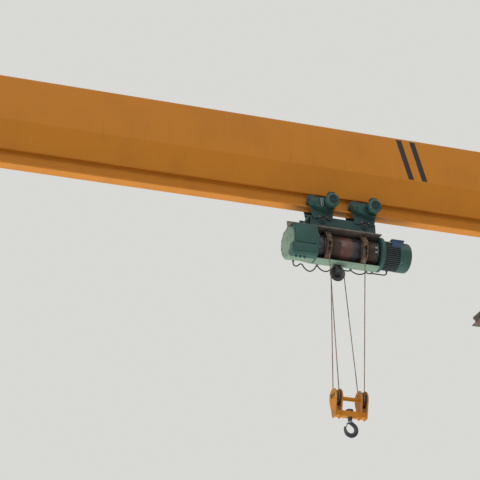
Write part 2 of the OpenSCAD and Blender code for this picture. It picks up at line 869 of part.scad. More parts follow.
// Two cheeks under the shell hold the pin of the equalising sheave
module sheave_bracket() {
    z0 = eq_z - 34;
    half = sheave_w/2 + 4;
    color("dimgray") {
        for (y = [eq_y - half - 12, eq_y + half]) difference() {
            block([eq_x - 34, y, z0], [68, 12, drum_z - z0]);
            rod_x(eq_x - 60, 120, shell_r, 0, drum_z);
        }
        rod_y(eq_y - half - 22, 2*half + 44, sheave_pin_r, eq_x, eq_z);
    }
}

module sheave_profile(r, bore) {
    w = sheave_w/2;
    floor_r = r - groove_r;
    rim = r + sheave_lip;
    polygon(concat(
        [[bore, -w], [bore + 14, -w], [bore + 18, -w/2], [floor_r - 12, -w/2], [rim - 5, -w], [rim, -w + 1],
         [rim, -w + 4]],
        arc([r, 0], groove_r, 240, 120, 6),
        [[rim, w - 4], [rim, w - 1], [rim - 5, w], [floor_r - 12, w/2], [bore + 18, w/2], [bore + 14, w],
         [bore, w]]
    ));
}

module equalising_sheave() {
    color("dimgray") translate([eq_x, eq_y, eq_z]) rotate([90, 0, 0])
        rotate_extrude() sheave_profile(sheave_r, sheave_pin_r + fit_gap);
}

// The drum is turned with one set of grooves for each end of the rope
module drum() {
    in = drum_r - drum_wall - 3;
    grooves = [for (s = [0, 1], i = [0:groove_turns - 1]) groove_x[s] + i*rope_pitch - drum_x0];
    skin = concat(
        [[drum_r + drum_lip, 0], [drum_r + drum_lip, 12], [drum_r, 16]],
        [for (g = grooves, p = arc([drum_pitch_r, g], groove_r, 240, 120, 4)) p],
        [[drum_r, drum_l - 16], [drum_r + drum_lip, drum_l - 12], [drum_r + drum_lip, drum_l]]
    );
    color("darkslategray") {
        translate([drum_x0, 0, drum_z]) rotate([0, 90, 0]) rotate_extrude()
            polygon(concat(skin, [[in, drum_l], [in, drum_l - 30], [shaft_r, drum_l - 30],
                                  [shaft_r, drum_l - 48], [in - 20, drum_l - 48], [in, drum_l - 70],
                                  [in, 70], [in - 20, 48], [shaft_r, 48], [shaft_r, 30], [in, 30],
                                  [in, 0]]));
        rod_x(wall_x + 2, ring_x - wall_x + ring_t - 4, shaft_r, 0, drum_z);
    }
}

// A straight rope between two points
module rope(a, b) {
    d = b - a;
    len = norm(d);
    translate(a) rotate([0, acos(d[2]/len), atan2(d[1], d[0])])
        cylinder(d = rope_d, h = len, $fn = 24);
}

// Rope laid half round a sheave whose axis is Y
module half_wrap(r) {
    rotate([90, 0, 0]) rotate_extrude(angle = 180) translate([r, 0]) circle(d = rope_d, $fn = 24);
}

// Outer falls, from the drum's front down to the hook block
module hoist_ropes() {
    y = block_y - block_r;
    bend_z = drum_z - 60;
    color("dimgray") for (i = [0, 1]) {
        rope([guide_x[i], y, drum_z], [guide_x[i], y, bend_z]);
        rope([guide_x[i], y, bend_z - 0.5], [block_x[i], y, block_z + lead_l + 0.5]);
    }
}

// Inner falls, from the equalising sheave down to the hook block
module inner_ropes() {
    color("dimgray") for (i = [0, 1])
        rope([fall_x[i], eq_y, eq_z - 0.5], [block_x[i], eq_y, block_z + lead_l + 0.5]);
}

module sheave_rope() {
    color("dimgray") translate([eq_x, eq_y, eq_z]) half_wrap(sheave_r);
}

// Hook block

module cheek_2d() {
    cheek_low = cross_z - cross_h/2 - 14;
    difference() {
        hull() {
            translate([block_y, block_z]) circle(r = cheek_r, $fn = 48);
            translate([block_y - 40, cheek_low]) square([80, 20]);
        }
        translate([block_y, block_z]) circle(r = block_pin_r);
    }
}

module block_frame() {
    x0 = block_x[0] - cheek_in;
    l = block_x[1] + cheek_in - x0;
    color("orange") {
        for (x = block_x, s = [-1, 1])
            along_x(x + s*(cheek_in + cheek_t/2) - cheek_t/2, cheek_t) cheek_2d();
        difference() {
            block([x0 - 1, block_y - 36, cross_z - cross_h/2], [l + 2, 72, cross_h]);
            translate([hook_x, block_y, cross_z - cross_h]) cylinder(d = shank_d + 2*fit_gap, h = 2*cross_h);
        }
    }
    color("silver") rod_x(x0 - cheek_t - 14, l + 2*cheek_t + 28, block_pin_r, block_y, block_z);
}

module block_sheaves() {
    for (x = block_x) color("dimgray") translate([x, block_y, block_z]) rotate([0, 90, 0])
        rotate_extrude() sheave_profile(block_r, block_pin_r + fit_gap);
}

// Rope under the block's sheaves, with the straight leads above them
module block_ropes() {
    for (x = block_x) color("dimgray") {
        translate([x, block_y, block_z]) rotate([0, 0, 90]) rotate([180, 0, 0]) half_wrap(block_r);
        for (y = [block_y - block_r, eq_y]) rope([x, y, block_z + 0.2], [x, y, block_z + lead_l]);
    }
}

// Centre line of the hook: down the shank, then round the bowl to the tip
hook_path = concat(
    [[0, 108], [0, 92], [3, 80], [12, 69]],
    [for (a = [50:-15:-205]) (bowl_r + hook_thick(a)/2 + hook_flare(a))*[cos(a), sin(a)]]
);

neck_r = shank_d/2 - 1;

// Thickness of the hook at an angle round the bowl, thickest at the bottom
function hook_thick(a) = a > -90 ? hook_t - 8*(a + 90)/140 : hook_t - 34*pow((-90 - a)/115, 1.4);

function hook_flare(a) = a > -150 ? 0 : 12*pow((-150 - a)/55, 1.5);

function hook_ring(i) =
    let (last = len(hook_path) - 1,
         p = hook_path[i],
         d = hook_path[min(i + 1, last)] - hook_path[max(i - 1, 0)],
         n = i < 2 ? [1, 0] : [-d[1], d[0]]/norm(d),
         a = 50 - 15*(i - 4),
         bowl = i > 3 ? 1 : i/4,
         t = i > 3 ? hook_thick(a)/2 : neck_r + (hook_thick(50)/2 - neck_r)*bowl,
         w = i > 3 ? hook_w/2*(a > -120 ? 1 : 1 - (-120 - a)/150) : neck_r)
    [for (k = [0:11]) let (c = cos(30*k), s = sin(30*k))
        [p[0] + t*c*n[0], w*s*(1 - 0.22*bowl*c), p[1] + t*c*n[1]]];

module hook() {
    nut_z = cross_z + cross_h/2 + run_gap;
    color("dimgray") translate([hook_x, block_y, 0]) difference() {
        union() {
            translate([0, 0, hook_z]) loft([for (i = [0:len(hook_path) - 1]) hook_ring(i)]);
            translate([0, 0, hook_z + 102]) cylinder(d = shank_d, h = nut_z + 30 - hook_z - 102);
            translate([0, 0, nut_z]) cylinder(d = shank_d + 34, h = 22);
        }
        rod_y(-shank_d, 2*shank_d, latch_pin_r + fit_gap, latch_pin[0], hook_z + latch_pin[1]);
    }
}

// A sprung flap on a pin through the hook's neck closes its mouth
module hook_latch() {
    in = shank_d/2 + 3;
    out = in + 3;
    tilt = 68;
    color("silver") translate([hook_x, block_y, hook_z]) {
        for (y = [-out, in]) translate([0, y + 3, 0]) rotate([90, 0, 0]) linear_extrude(3) hull() {
            translate(latch_pin) circle(r = 10, $fn = 24);
            translate([-bowl_r + 16, 77]) circle(r = 3, $fn = 12);
            translate([-bowl_r + 12, 65]) circle(r = 3, $fn = 12);
        }
        translate([-bowl_r - 3, 0, 21]) rotate([0, -tilt, 0]) linear_extrude(3.5)
            polygon([[0, -12], [34, -16], [46, -out], [61, -out], [61, out], [46, out], [34, 16], [0, 12]]);
        rod_y(-out - 3, 2*out + 6, latch_pin_r, latch_pin[0], latch_pin[1]);
    }
}

left_rail();
right_rail();
girder_box();
girder_beam();
girder_end_plates();
trolley_stops();
left_truck();
right_truck();
truck_axles();
axle_caps();
buffers();
drive_gearboxes();
drive_motors();
left_front_wheel();
left_rear_wheel();
right_front_wheel();
right_rear_wheel();
trolley_side_plates();
roller_axles();
travel_gearboxes();
travel_motors();
balance_beam();
balance_pins();
hoist_lugs();
rollers_1();
rollers_2();
rollers_3();
rollers_4();
hoist_plate();
hoist_shell();
hoist_rings();
gearbox();
switch_box();
rope_guides();
hoist_motor();
motor_cowl();
terminal_box();
hoist_cable();
cable_clips();
sheave_bracket();
equalising_sheave();
drum();
hoist_ropes();
inner_ropes();
sheave_rope();
block_frame();
block_sheaves();
block_ropes();
hook();
hook_latch();
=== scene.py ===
"""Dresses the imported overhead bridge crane: paint, steel, ropes, fasteners, floor and light."""
import json
import math
import random

import bmesh
import bpy
from mathutils import Matrix, Vector

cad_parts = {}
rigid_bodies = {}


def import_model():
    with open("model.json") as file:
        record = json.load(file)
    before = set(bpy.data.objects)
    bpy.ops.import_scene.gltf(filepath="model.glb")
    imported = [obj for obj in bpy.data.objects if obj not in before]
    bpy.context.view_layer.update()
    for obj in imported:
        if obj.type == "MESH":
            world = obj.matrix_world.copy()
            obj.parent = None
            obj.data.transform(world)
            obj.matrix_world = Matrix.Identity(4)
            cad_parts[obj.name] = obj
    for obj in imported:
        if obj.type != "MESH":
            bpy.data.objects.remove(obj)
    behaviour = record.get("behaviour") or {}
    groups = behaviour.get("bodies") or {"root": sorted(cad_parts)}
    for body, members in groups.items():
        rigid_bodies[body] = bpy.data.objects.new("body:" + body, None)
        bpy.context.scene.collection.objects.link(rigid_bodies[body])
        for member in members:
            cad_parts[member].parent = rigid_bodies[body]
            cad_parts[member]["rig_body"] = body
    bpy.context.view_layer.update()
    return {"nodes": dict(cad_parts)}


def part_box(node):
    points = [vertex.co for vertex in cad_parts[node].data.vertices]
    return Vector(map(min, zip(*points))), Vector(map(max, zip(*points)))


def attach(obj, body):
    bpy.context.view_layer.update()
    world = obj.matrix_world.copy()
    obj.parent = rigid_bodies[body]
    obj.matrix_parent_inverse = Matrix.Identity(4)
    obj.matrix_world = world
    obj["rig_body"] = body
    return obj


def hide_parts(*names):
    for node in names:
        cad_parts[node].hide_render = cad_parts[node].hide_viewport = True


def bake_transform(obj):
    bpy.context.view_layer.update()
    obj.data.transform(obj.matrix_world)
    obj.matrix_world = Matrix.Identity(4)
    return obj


bl_info = {
    "name": "Overhead bridge crane",
    "version": (1, 0, 0),
    "blender": (4, 5, 0),
    "location": "View3D > Sidebar > Crane",
    "description": "Paint, steel, ropes and small parts for a single-girder bridge crane",
    "category": "Object",
}

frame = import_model()
NODES = frame["nodes"]
X, Y, Z = Vector((1, 0, 0)), Vector((0, 1, 0)), Vector((0, 0, 1))


def linear(colour):
    """Turns an sRGB hex colour into the linear values that shaders take."""
    parts = [int(colour[i:i + 2], 16) / 255 for i in (1, 3, 5)]
    return tuple(p / 12.92 if p <= 0.04045 else ((p + 0.055) / 1.055) ** 2.4 for p in parts)


def middle(node):
    """Centre of a CAD node's box."""
    low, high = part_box(node)
    return (low + high) / 2


# Places that the pieces are set out from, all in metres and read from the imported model
BEAM_LOW, BEAM_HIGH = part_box("girder_beam")
BOX_LOW, BOX_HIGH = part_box("girder_box")
RAIL_LOW, RAIL_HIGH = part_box("left_rail")
TRUCK_LOW, TRUCK_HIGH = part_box("left_truck")
GUIDE_LOW, GUIDE_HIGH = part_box("rope_guides")
SHEAVES_LOW, SHEAVES_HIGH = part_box("block_sheaves")
COWL_LOW, COWL_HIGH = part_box("motor_cowl")
PINS_LOW, PINS_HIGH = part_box("balance_pins")
GEARBOX_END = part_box("gearbox")[0].x
RING_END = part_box("hoist_rings")[1].x
SPAN = middle("right_rail").x
AXLE_Z = middle("left_front_wheel").z
AXLE_Y = middle("left_rear_wheel").y
DRUM = middle("drum")
EQ = middle("equalising_sheave")
BLOCK = middle("block_sheaves")
# Middles of the two rope guides and of the block's two pairs of cheeks, along the span
GUIDE_WIDTH = 0.060
SHEAVE_WIDTH = 0.038
GUIDES_X = (GUIDE_LOW.x + GUIDE_WIDTH / 2, GUIDE_HIGH.x - GUIDE_WIDTH / 2)
BLOCKS_X = (SHEAVES_LOW.x + SHEAVE_WIDTH / 2, SHEAVES_HIGH.x - SHEAVE_WIDTH / 2)
# Middles of the trolley's two units along the span, at their pins, with heads of 56 mm
UNITS_X = (PINS_LOW.x + 0.028, PINS_HIGH.x - 0.028)
# The middle that the hoist's source counts its places from
HOIST_X = EQ.x + 0.030
# Each truck's place along the span, and the way from it to the bridge's middle
TRUCKS = ((0.0, 1), (SPAN, -1))


def length_property(name, description, default, low, high):
    """A length in metres that the panel shows."""
    return bpy.props.FloatProperty(
        name=name, description=description, default=default, min=low, max=high, unit="LENGTH")


class CraneSizes(bpy.types.PropertyGroup):
    """Sizes of the pieces that are added to the CAD model"""

    rope_radius: length_property(
        "Rope radius", "Radius over the strands of the wire rope", 0.0055, 0.003, 0.008)
    rope_lay: length_property(
        "Rope lay", "Length in which a strand goes once round the rope", 0.072, 0.04, 0.12)
    rope_pitch: length_property(
        "Rope pitch", "Distance between two turns of the rope on the drum", 0.012, 0.011, 0.016)
    drum_pitch_radius: length_property(
        "Drum radius", "Radius of the rope's centre line on the drum", 0.1428, 0.12, 0.16)
    sheave_radius: length_property(
        "Sheave radius", "Radius of the rope's centre line on the fixed sheave", 0.076, 0.06, 0.1)
    turns: bpy.props.IntProperty(
        name="Turns on the drum", default=12, min=4, max=13,
        description="Turns of rope wound on each half of the drum at rest")
    cable_radius: length_property(
        "Cable radius", "Radius of the cable that hangs under the hoist", 0.007, 0.004, 0.009)
    stripe_width: length_property(
        "Stripe width", "Width of the dark stripes on the girder", 0.068, 0.02, 0.2)
    bevel: length_property(
        "Edge rounding", "Rounding of the plates' sheared and ground edges", 0.0015, 0.0005, 0.004)
    floor_depth: length_property(
        "Floor depth", "Depth of the floor under the rail's foot", 11.0, 8.5, 20.0)


def colour_property(name, description, default):
    """A colour that the panel shows, from its sRGB hex value."""
    return bpy.props.FloatVectorProperty(
        name=name, description=description, subtype="COLOR", size=3, min=0, max=1,
        default=linear(default))


class CraneColours(bpy.types.PropertyGroup):
    """Colours of the crane's finishes"""

    girder: colour_property("Girder enamel", "Orange enamel of the girder and trucks", "#B8741F")
    shell: colour_property("Shell enamel", "Pale green enamel of the shell and gearbox", "#738A77")
    hoist: colour_property("Hoist enamel", "Teal green enamel of boxes, ring and cowl", "#31504A")
    frame: colour_property("Trolley enamel", "Dark green enamel of the trolley's plates", "#2F4645")
    plate: colour_property("Plate enamel", "Brown-grey soiled enamel of the top plate", "#746B64")
    ribs: colour_property("Motor enamel", "Dark grey-green enamel of the hoist motor", "#414B4D")
    motor: colour_property("Blue enamel", "Blue enamel of terminal box and drives", "#3A4E66")
    stripe: colour_property("Stripe enamel", "Dark enamel of the girder's stripes", "#2E2A2B")
    primer: colour_property("Primer", "Red-brown primer on the drum's bare middle", "#5F3A34")
    bronze: colour_property("Bronze", "Cast bronze of the rope guides", "#7C5A3A")
    steel: colour_property("Steel", "Turned and ground steel", "#8C8B88")
    zinc: colour_property("Zinc", "Zinc plate of the bolts and brackets", "#8C8F8D")
    iron: colour_property("Iron", "Greased cast iron", "#3D3E40")
    rope: colour_property("Rope", "Greased wire of the rope", "#857262")
    floor: colour_property("Floor", "Pale matt floor", "#F1F1EF")
    backdrop: colour_property("Backdrop", "Pale backdrop behind the crane", "#D9D9D6")


# Materials. Patterns lie on Object coordinates, in metres, so a noise scale of 1000 / mm gives
# blots of about that many millimetres. A colour Mix takes its factor at 0 and its colours at 6
# and 7, and gives its result at 2.

def add(tree, kind, inputs=None, out=0, **settings):
    """Adds a shader node, sets its options, sets or joins its inputs and gives one output."""
    node = tree.nodes.new("ShaderNode" + kind)
    for key, value in settings.items():
        setattr(node, key, value)
    for key, value in (inputs or {}).items():
        if isinstance(value, bpy.types.NodeSocket):
            tree.links.new(value, node.inputs[key])
        else:
            node.inputs[key].default_value = value
    return node.outputs[out] if node.outputs else node


def empty_material(name):
    """A material with its node tree cleared."""
    material = bpy.data.materials.new(name)
    material.use_nodes = True
    material.node_tree.nodes.clear()
    return material, material.node_tree


def rgba(colour, factor=1.0):
    """A linear colour made darker or lighter by a factor, with its alpha."""
    return tuple(min(1, c * factor) for c in colour) + (1,)


def finish_material(tree, colour, roughness, height, depth_mm, others):
    """Ends a material with its bump and one principled surface, with its other inputs."""
    bump = add(tree, "Bump", {"Height": height, "Distance": depth_mm / 1000, "Strength": 0.5})
    surface = add(tree, "BsdfPrincipled", {
        "Base Color": colour, "Roughness": roughness, "Normal": bump, **others})
    add(tree, "OutputMaterial", {"Surface": surface})


def enamel(name, colour, gloss=0.42, patch_mm=1400, soil=0.12, stripes=None):
    """Alkyd enamel sprayed on steel plate: an even semi-gloss coat, patches that have faded a
    little, a thin uneven film of dust and oil, and orange peel in the reflections."""
    material, tree = empty_material(name)
    place = add(tree, "TexCoord", out="Object")
    dirt = linear("#2A241E")
    patch = add(tree, "TexNoise", {"Vector": place, "Scale": 1000 / patch_mm, "Detail": 5})
    paint = add(tree, "Mix", {0: patch, 6: rgba(colour, 0.95), 7: rgba(colour, 1.05)}, 2,
                data_type="RGBA")
    film = add(tree, "TexNoise", {"Vector": place, "Scale": 3000 / patch_mm, "Detail": 8})
    film = add(tree, "MapRange", {
        "Value": film, "From Min": 0.45, "From Max": 0.75, "To Max": soil})
    paint = add(tree, "Mix", {0: film, 6: paint, 7: rgba(dirt, 1.5)}, 2, data_type="RGBA")
    # Runs of dirt are about 60 mm wide and drawn out downwards
    drawn_out = add(tree, "Mapping", {"Vector": place, "Scale": (1, 1, 0.08)})
    runs = add(tree, "TexNoise", {"Vector": drawn_out, "Scale": 1000 / 60, "Detail": 4})
    runs = add(tree, "MapRange", {
        "Value": runs, "From Min": 0.55, "From Max": 0.85, "To Max": soil * 0.7})
    paint = add(tree, "Mix", {0: runs, 6: paint, 7: rgba(dirt)}, 2, data_type="RGBA")
    if stripes:
        paint = striped(tree, place, paint, *stripes)
    rough = add(tree, "MapRange", {
        "Value": patch, "From Min": 0.3, "From Max": 0.7, "To Min": gloss - 0.05,
        "To Max": gloss + 0.12})
    # Orange peel is about 2 mm across, too fine to show at this distance, so it is drawn at 9 mm
    peel = add(tree, "TexNoise", {"Vector": place, "Scale": 1000 / 9, "Detail": 2})
    finish_material(tree, paint, rough, peel, 0.3, {
        "IOR": 1.45, "Specular IOR Level": 0.25, "Coat Weight": 0.03, "Coat Roughness": 0.3})
    return material


def striped(tree, place, paint, colour, width, slope, low, top, starts):
    """Slanted dark stripes on the girder's upright plates, with slightly rough edges."""
    x, y, z = add(tree, "SeparateXYZ", {"Vector": place}).node.outputs
    ragged = add(tree, "TexNoise", {"Vector": place, "Scale": 1000 / 16, "Detail": 4})
    along = add(tree, "Math", {0: z, 1: slope, 2: x}, operation="MULTIPLY_ADD")
    along = add(tree, "Math", {0: ragged, 1: 0.004, 2: along}, operation="MULTIPLY_ADD")
    mask = 0.0
    for start in starts:
        gap = add(tree, "Math", {0: along, 1: start + width / 2}, operation="SUBTRACT")
        gap = add(tree, "Math", {0: gap}, operation="ABSOLUTE")
        inside = add(tree, "Math", {0: gap, 1: width / 2}, operation="LESS_THAN")
        mask = add(tree, "Math", {0: mask, 1: inside}, operation="MAXIMUM")
    # Only the front plate carries them, between its knee and its top edge
    for value, test, limit in (
            (y, "LESS_THAN", 0.0), (z, "GREATER_THAN", low), (z, "LESS_THAN", top)):
        within = add(tree, "Math", {0: value, 1: limit}, operation=test)
        mask = add(tree, "Math", {0: mask, 1: within}, operation="MULTIPLY")
    return add(tree, "Mix", {0: mask, 6: paint, 7: rgba(colour)}, 2, data_type="RGBA")


def bare_steel(name, colour, rust="#5B3A26", amount=0.25, rough=0.42, grain_mm=25, metal=0.85):
    """Rolled, turned or cast iron and steel: a grey metal under a thin film of oil and brown rust
    that lies in patches, with a fine grain."""
    material, tree = empty_material(name)
    place = add(tree, "TexCoord", out="Object")
    patch = add(tree, "TexNoise", {"Vector": place, "Scale": 1000 / (grain_mm * 3), "Detail": 6})
    rusted = add(tree, "MapRange", {
        "Value": patch, "From Min": 0.66 - amount * 0.5, "From Max": 0.86 - amount * 0.4,
        "To Max": 0.9})
    grain = add(tree, "TexNoise", {"Vector": place, "Scale": 4000 / grain_mm, "Detail": 4})
    worn = add(tree, "MapRange", {"Value": grain, "From Min": 0.35, "From Max": 0.7})
    tone = add(tree, "Mix", {0: worn, 6: rgba(colour, 0.8), 7: rgba(colour, 1.15)}, 2,
               data_type="RGBA")
    tone = add(tree, "Mix", {0: rusted, 6: tone, 7: rgba(linear(rust))}, 2, data_type="RGBA")
    dull = add(tree, "MapRange", {"Value": rusted, "To Min": rough, "To Max": 0.8})
    bare = add(tree, "MapRange", {"Value": rusted, "To Min": metal, "To Max": 0.15})
    finish_material(tree, tone, dull, grain, 0.3, {"Metallic": bare})
    return material


def greased_rope(name, colour):
    """Drawn and galvanised wire under dark grease: dull metal, darker where grease sits in patches,
    with the wires of each strand as fine slanted lines."""
    material, tree = empty_material(name)
    place = add(tree, "TexCoord", out="Object")
    grease = add(tree, "TexNoise", {"Vector": place, "Scale": 1000 / 90, "Detail": 5})
    grease = add(tree, "MapRange", {"Value": grease, "From Min": 0.4, "From Max": 0.65})
    # A wire is 0.7 mm thick, too fine to show, so the lines are drawn 1.5 mm apart
    wires = add(tree, "TexWave", {"Vector": place, "Scale": 105, "Distortion": 2.0}, "Fac",
                bands_direction="DIAGONAL")
    lines = add(tree, "MapRange", {"Value": wires, "To Max": 0.35})
    tone = add(tree, "Mix", {0: grease, 6: rgba(colour, 1.1), 7: rgba(colour, 0.55)}, 2,
               data_type="RGBA")
    tone = add(tree, "Mix", {0: lines, 6: tone, 7: rgba(colour, 0.35)}, 2, data_type="RGBA")
    dull = add(tree, "MapRange", {"Value": grease, "To Min": 0.38, "To Max": 0.6})
    finish_material(tree, tone, dull, wires, 0.2, {"Metallic": 0.6})
    return material


def drum_iron(name, colour, primer):
    """Turned cast iron under grease, with red-brown primer left on the bare middle between the two
    sets of grooves."""
    material, tree = empty_material(name)
    place = add(tree, "TexCoord", out="Object")
    along = add(tree, "SeparateXYZ", {"Vector": place}, "X")
    ragged = add(tree, "TexNoise", {"Vector": place, "Scale": 1000 / 40, "Detail": 5})
    ragged = add(tree, "Math", {0: ragged, 1: 0.05, 2: along}, operation="MULTIPLY_ADD")
    # The primer fades in and out over 40 mm at the ends of the bare middle
    left = add(tree, "MapRange", {
        "Value": ragged, "From Min": HOIST_X - 0.090, "From Max": HOIST_X - 0.050})
    right = add(tree, "MapRange", {
        "Value": ragged, "From Min": HOIST_X + 0.145, "From Max": HOIST_X + 0.105})
    bare = add(tree, "Math", {0: left, 1: right}, operation="MULTIPLY")
    grease = add(tree, "TexNoise", {"Vector": place, "Scale": 1000 / 70, "Detail": 6})
    grease = add(tree, "MapRange", {"Value": grease, "From Min": 0.35, "From Max": 0.7})
    iron = add(tree, "Mix", {0: grease, 6: rgba(colour, 0.85), 7: rgba(colour, 1.5)}, 2,
               data_type="RGBA")
    red = add(tree, "Mix", {0: grease, 6: rgba(primer, 0.7), 7: rgba(primer, 1.15)}, 2,
              data_type="RGBA")
    tone = add(tree, "Mix", {0: bare, 6: iron, 7: red}, 2, data_type="RGBA")
    dull = add(tree, "MapRange", {"Value": grease, "To Min": 0.32, "To Max": 0.6})
    metal = add(tree, "MapRange", {"Value": bare, "To Min": 0.6, "To Max": 0.0})
    finish_material(tree, tone, dull, grease, 0.3, {"Metallic": metal})
    return material


def rubber(name, colour, rough=0.7):
    """Moulded rubber or cable sheath: near black, dull, with dust that greys its upper skin. It
    also gives the near-black discs of painted shade behind the fan grilles.
    """
    material, tree = empty_material(name)
    place = add(tree, "TexCoord", out="Object")
    dust = add(tree, "TexNoise", {"Vector": place, "Scale": 1000 / 30, "Detail": 6})
    dust = add(tree, "MapRange", {"Value": dust, "From Min": 0.4, "From Max": 0.8, "To Max": 0.35})
    tone = add(tree, "Mix", {0: dust, 6: rgba(colour), 7: rgba(linear("#5B5650"))}, 2,
               data_type="RGBA")
    dull = add(tree, "MapRange", {"Value": dust, "From Max": 0.35, "To Min": rough, "To Max": 0.9})
    skin = add(tree, "TexNoise", {"Vector": place, "Scale": 1000 / 3, "Detail": 4})
    finish_material(tree, tone, dull, skin, 0.15, {"IOR": 1.45})
    return material


MATERIALS = {}


def make_materials(scene):
    """Every finish of the crane, by its name."""
    pick = {key: tuple(getattr(scene.crane_colours, key)) for key in CraneColours.__annotations__}
    # The stripes lean 0.27 m along the span for each metre of height. They run on the upright
    # plate, from 12 mm over its knee to its top edge, and start at these places along the span
    stripes = (pick["stripe"], scene.crane_sizes.stripe_width, 0.27, BEAM_LOW.z + 0.482,
               BOX_HIGH.z - 0.028, (15.676, 15.842))
    MATERIALS.update(
        girder=enamel("girder_enamel", pick["girder"], stripes=stripes),
        bridge=enamel("bridge_enamel", pick["girder"], patch_mm=600),
        stop=enamel("stop_enamel", linear("#9C2F22"), patch_mm=200),
        shell=enamel("shell_enamel", pick["shell"], patch_mm=350, soil=0.18),
        hoist=enamel("hoist_enamel", pick["hoist"], patch_mm=300, soil=0.2),
        frame=enamel("trolley_enamel", pick["frame"], patch_mm=300, soil=0.2),
        plate=enamel("plate_enamel", pick["plate"], patch_mm=250, soil=0.5, gloss=0.55),
        ribs=enamel("hoist_motor_enamel", pick["ribs"], patch_mm=250, soil=0.2),
        blue=enamel("motor_enamel", pick["motor"], patch_mm=250),
        bronze=bare_steel("cast_bronze", pick["bronze"], "#2A2018", 0.62, 0.5, 18, 0.5),
        rail=bare_steel("rolled_rail_steel", linear("#6B625A"), amount=0.6, metal=0.7),
        steel=bare_steel("turned_steel", pick["steel"]),
        zinc=bare_steel("zinc_plate", pick["zinc"], "#6B675F", 0.3, 0.5, 12),
        iron=bare_steel("greased_iron", pick["iron"], amount=0.1, metal=0.6),
        drum=drum_iron("greased_drum_iron", pick["iron"], pick["primer"]),
        rope=greased_rope("greased_wire", pick["rope"]),
        # The turns on the drum carry more grease
        wound=greased_rope("wound_wire", tuple(0.45 * c for c in pick["rope"])),
        rubber=rubber("buffer_rubber", linear("#1A1A1B")),
        cable=rubber("cable_sheath", linear("#222122"), 0.5),
        # The near-black discs behind the fan grilles are painted shade: they stand for the shade
        # inside the motors' cowls
        dark=rubber("dark_inside", linear("#131414"), 0.9))


# Places

def placed(place, out=Z, spin=0.0):
    """Turns a shape's Z to point out and moves it to a place."""
    turn = Vector(out).to_track_quat("Z", "Y").to_matrix().to_4x4()
    return Matrix.Translation(place) @ turn @ Matrix.Rotation(spin, 4, "Z")


def around(count, radius, place, out, start=0.0):
    """Places evenly round an axis."""
    turn = placed(place, out, start)
    return [turn @ Vector((radius * math.cos(a), radius * math.sin(a), 0))
            for a in (2 * math.pi * i / count for i in range(count))]


def steps(low, high, gap):
    """Even steps from low to high, close to a gap apart."""
    count = max(1, round((high - low) / gap))
    return [low + (high - low) * i / count for i in range(count + 1)]


def straight(a, b, gap):
    """Points from a to b, without b."""
    count = max(1, round((b - a).length / gap))
    return [a.lerp(b, i / count) for i in range(count)]


def bend(centre, start, axis, angle, gap):
    """Points on an arc that leaves start and turns round centre."""
    arm = start - centre
    count = max(2, round(abs(angle) * arm.length / gap))
    return [centre + Matrix.Rotation(angle * i / count, 3, axis) @ arm for i in range(count)]


# Mesh helpers. Each one adds its shape to a bmesh

def rounded(bm, faces_before, width, segments=2):
    """Rounds the edges over 40 degrees of the faces that were added last."""
    fresh = [f for f in bm.faces if f not in faces_before]
    edges = dict.fromkeys(e for f in fresh for e in f.edges if len(e.link_faces) == 2
                          and e.calc_face_angle(0) > math.radians(40))
    bmesh.ops.bevel(bm, geom=list(edges), offset=width, segments=segments, profile=0.5,
                    affect="EDGES", material=-1)


def slab(bm, corner, opposite, round_mm=1.5, segments=2):
    """A plate or box between two opposite corners."""
    before = set(bm.faces)
    low = Vector([min(pair) for pair in zip(corner, opposite)])
    high = Vector([max(pair) for pair in zip(corner, opposite)])
    bmesh.ops.create_cube(bm, size=1, matrix=Matrix.Translation((low + high) / 2)
                          @ Matrix.Diagonal((*(high - low), 1)))
    rounded(bm, before, round_mm / 1000, segments)


def rod(bm, place, out, radius, length, sides=24, round_mm=0.0, top=None):
    """A round bar from a place outwards; top is its radius at the far end."""
    before = set(bm.faces)
    bmesh.ops.create_cone(bm, cap_ends=True, segments=sides, radius1=radius,
                          radius2=radius if top is None else top, depth=length,
                          matrix=placed(place, out) @ Matrix.Translation((0, 0, length / 2)))
    if round_mm:
        rounded(bm, before, round_mm / 1000)


def bolt(bm, place, out, across, washer=True):
    """A hexagon head on its washer; across is the distance over its flats."""
    place, out = Vector(place), Vector(out)
    if washer:
        rod(bm, place, out, across * 0.95, across * 0.13, 14)
        place = place + out * across * 0.13
    rod(bm, place, out, across * 0.577, across * 0.42, 6)
    rod(bm, place + out * across * 0.42, out, across * 0.46, across * 0.04, 10, top=across * 0.36)


def hoop(bm, place, out, radius, thick, sides=48):
    """A ring of round bar about an axis."""
    turn = placed(place, out) @ Matrix.Translation((radius, 0, 0))
    ring = bmesh.ops.create_circle(bm, segments=6, radius=thick,
                                   matrix=turn @ Matrix.Rotation(math.pi / 2, 4, "X"))
    edges = dict.fromkeys(e for v in ring["verts"] for e in v.link_edges)
    bmesh.ops.spin(bm, geom=list(edges), cent=Vector(place), axis=Vector(out),
                   angle=2 * math.pi, steps=sides, use_merge=True)


def turned(bm, place, out, outline, sides=48):
    """Spins an outline of (radius, height) points about an axis, from a point on the axis."""
    turn = placed(place, out)
    verts = [bm.verts.new(turn @ Vector((r, 0, h))) for r, h in outline]
    edges = [bm.edges.new(pair) for pair in zip(verts, verts[1:])]
    bmesh.ops.spin(bm, geom=verts + edges, cent=Vector(place), axis=Vector(out),
                   angle=2 * math.pi, steps=sides, use_merge=True)


def plate(bm, corners, depth, round_mm=1.0):
    """A flat plate from its outline's corners, given thickness along a vector."""
    before = set(bm.faces)
    face = bm.faces.new([bm.verts.new(c) for c in corners])
    grown = bmesh.ops.extrude_face_region(bm, geom=[face])
    bmesh.ops.translate(bm, vec=Vector(depth),
                        verts=[v for v in grown["geom"] if isinstance(v, bmesh.types.BMVert)])
    if round_mm:
        rounded(bm, before, round_mm / 1000, 1)


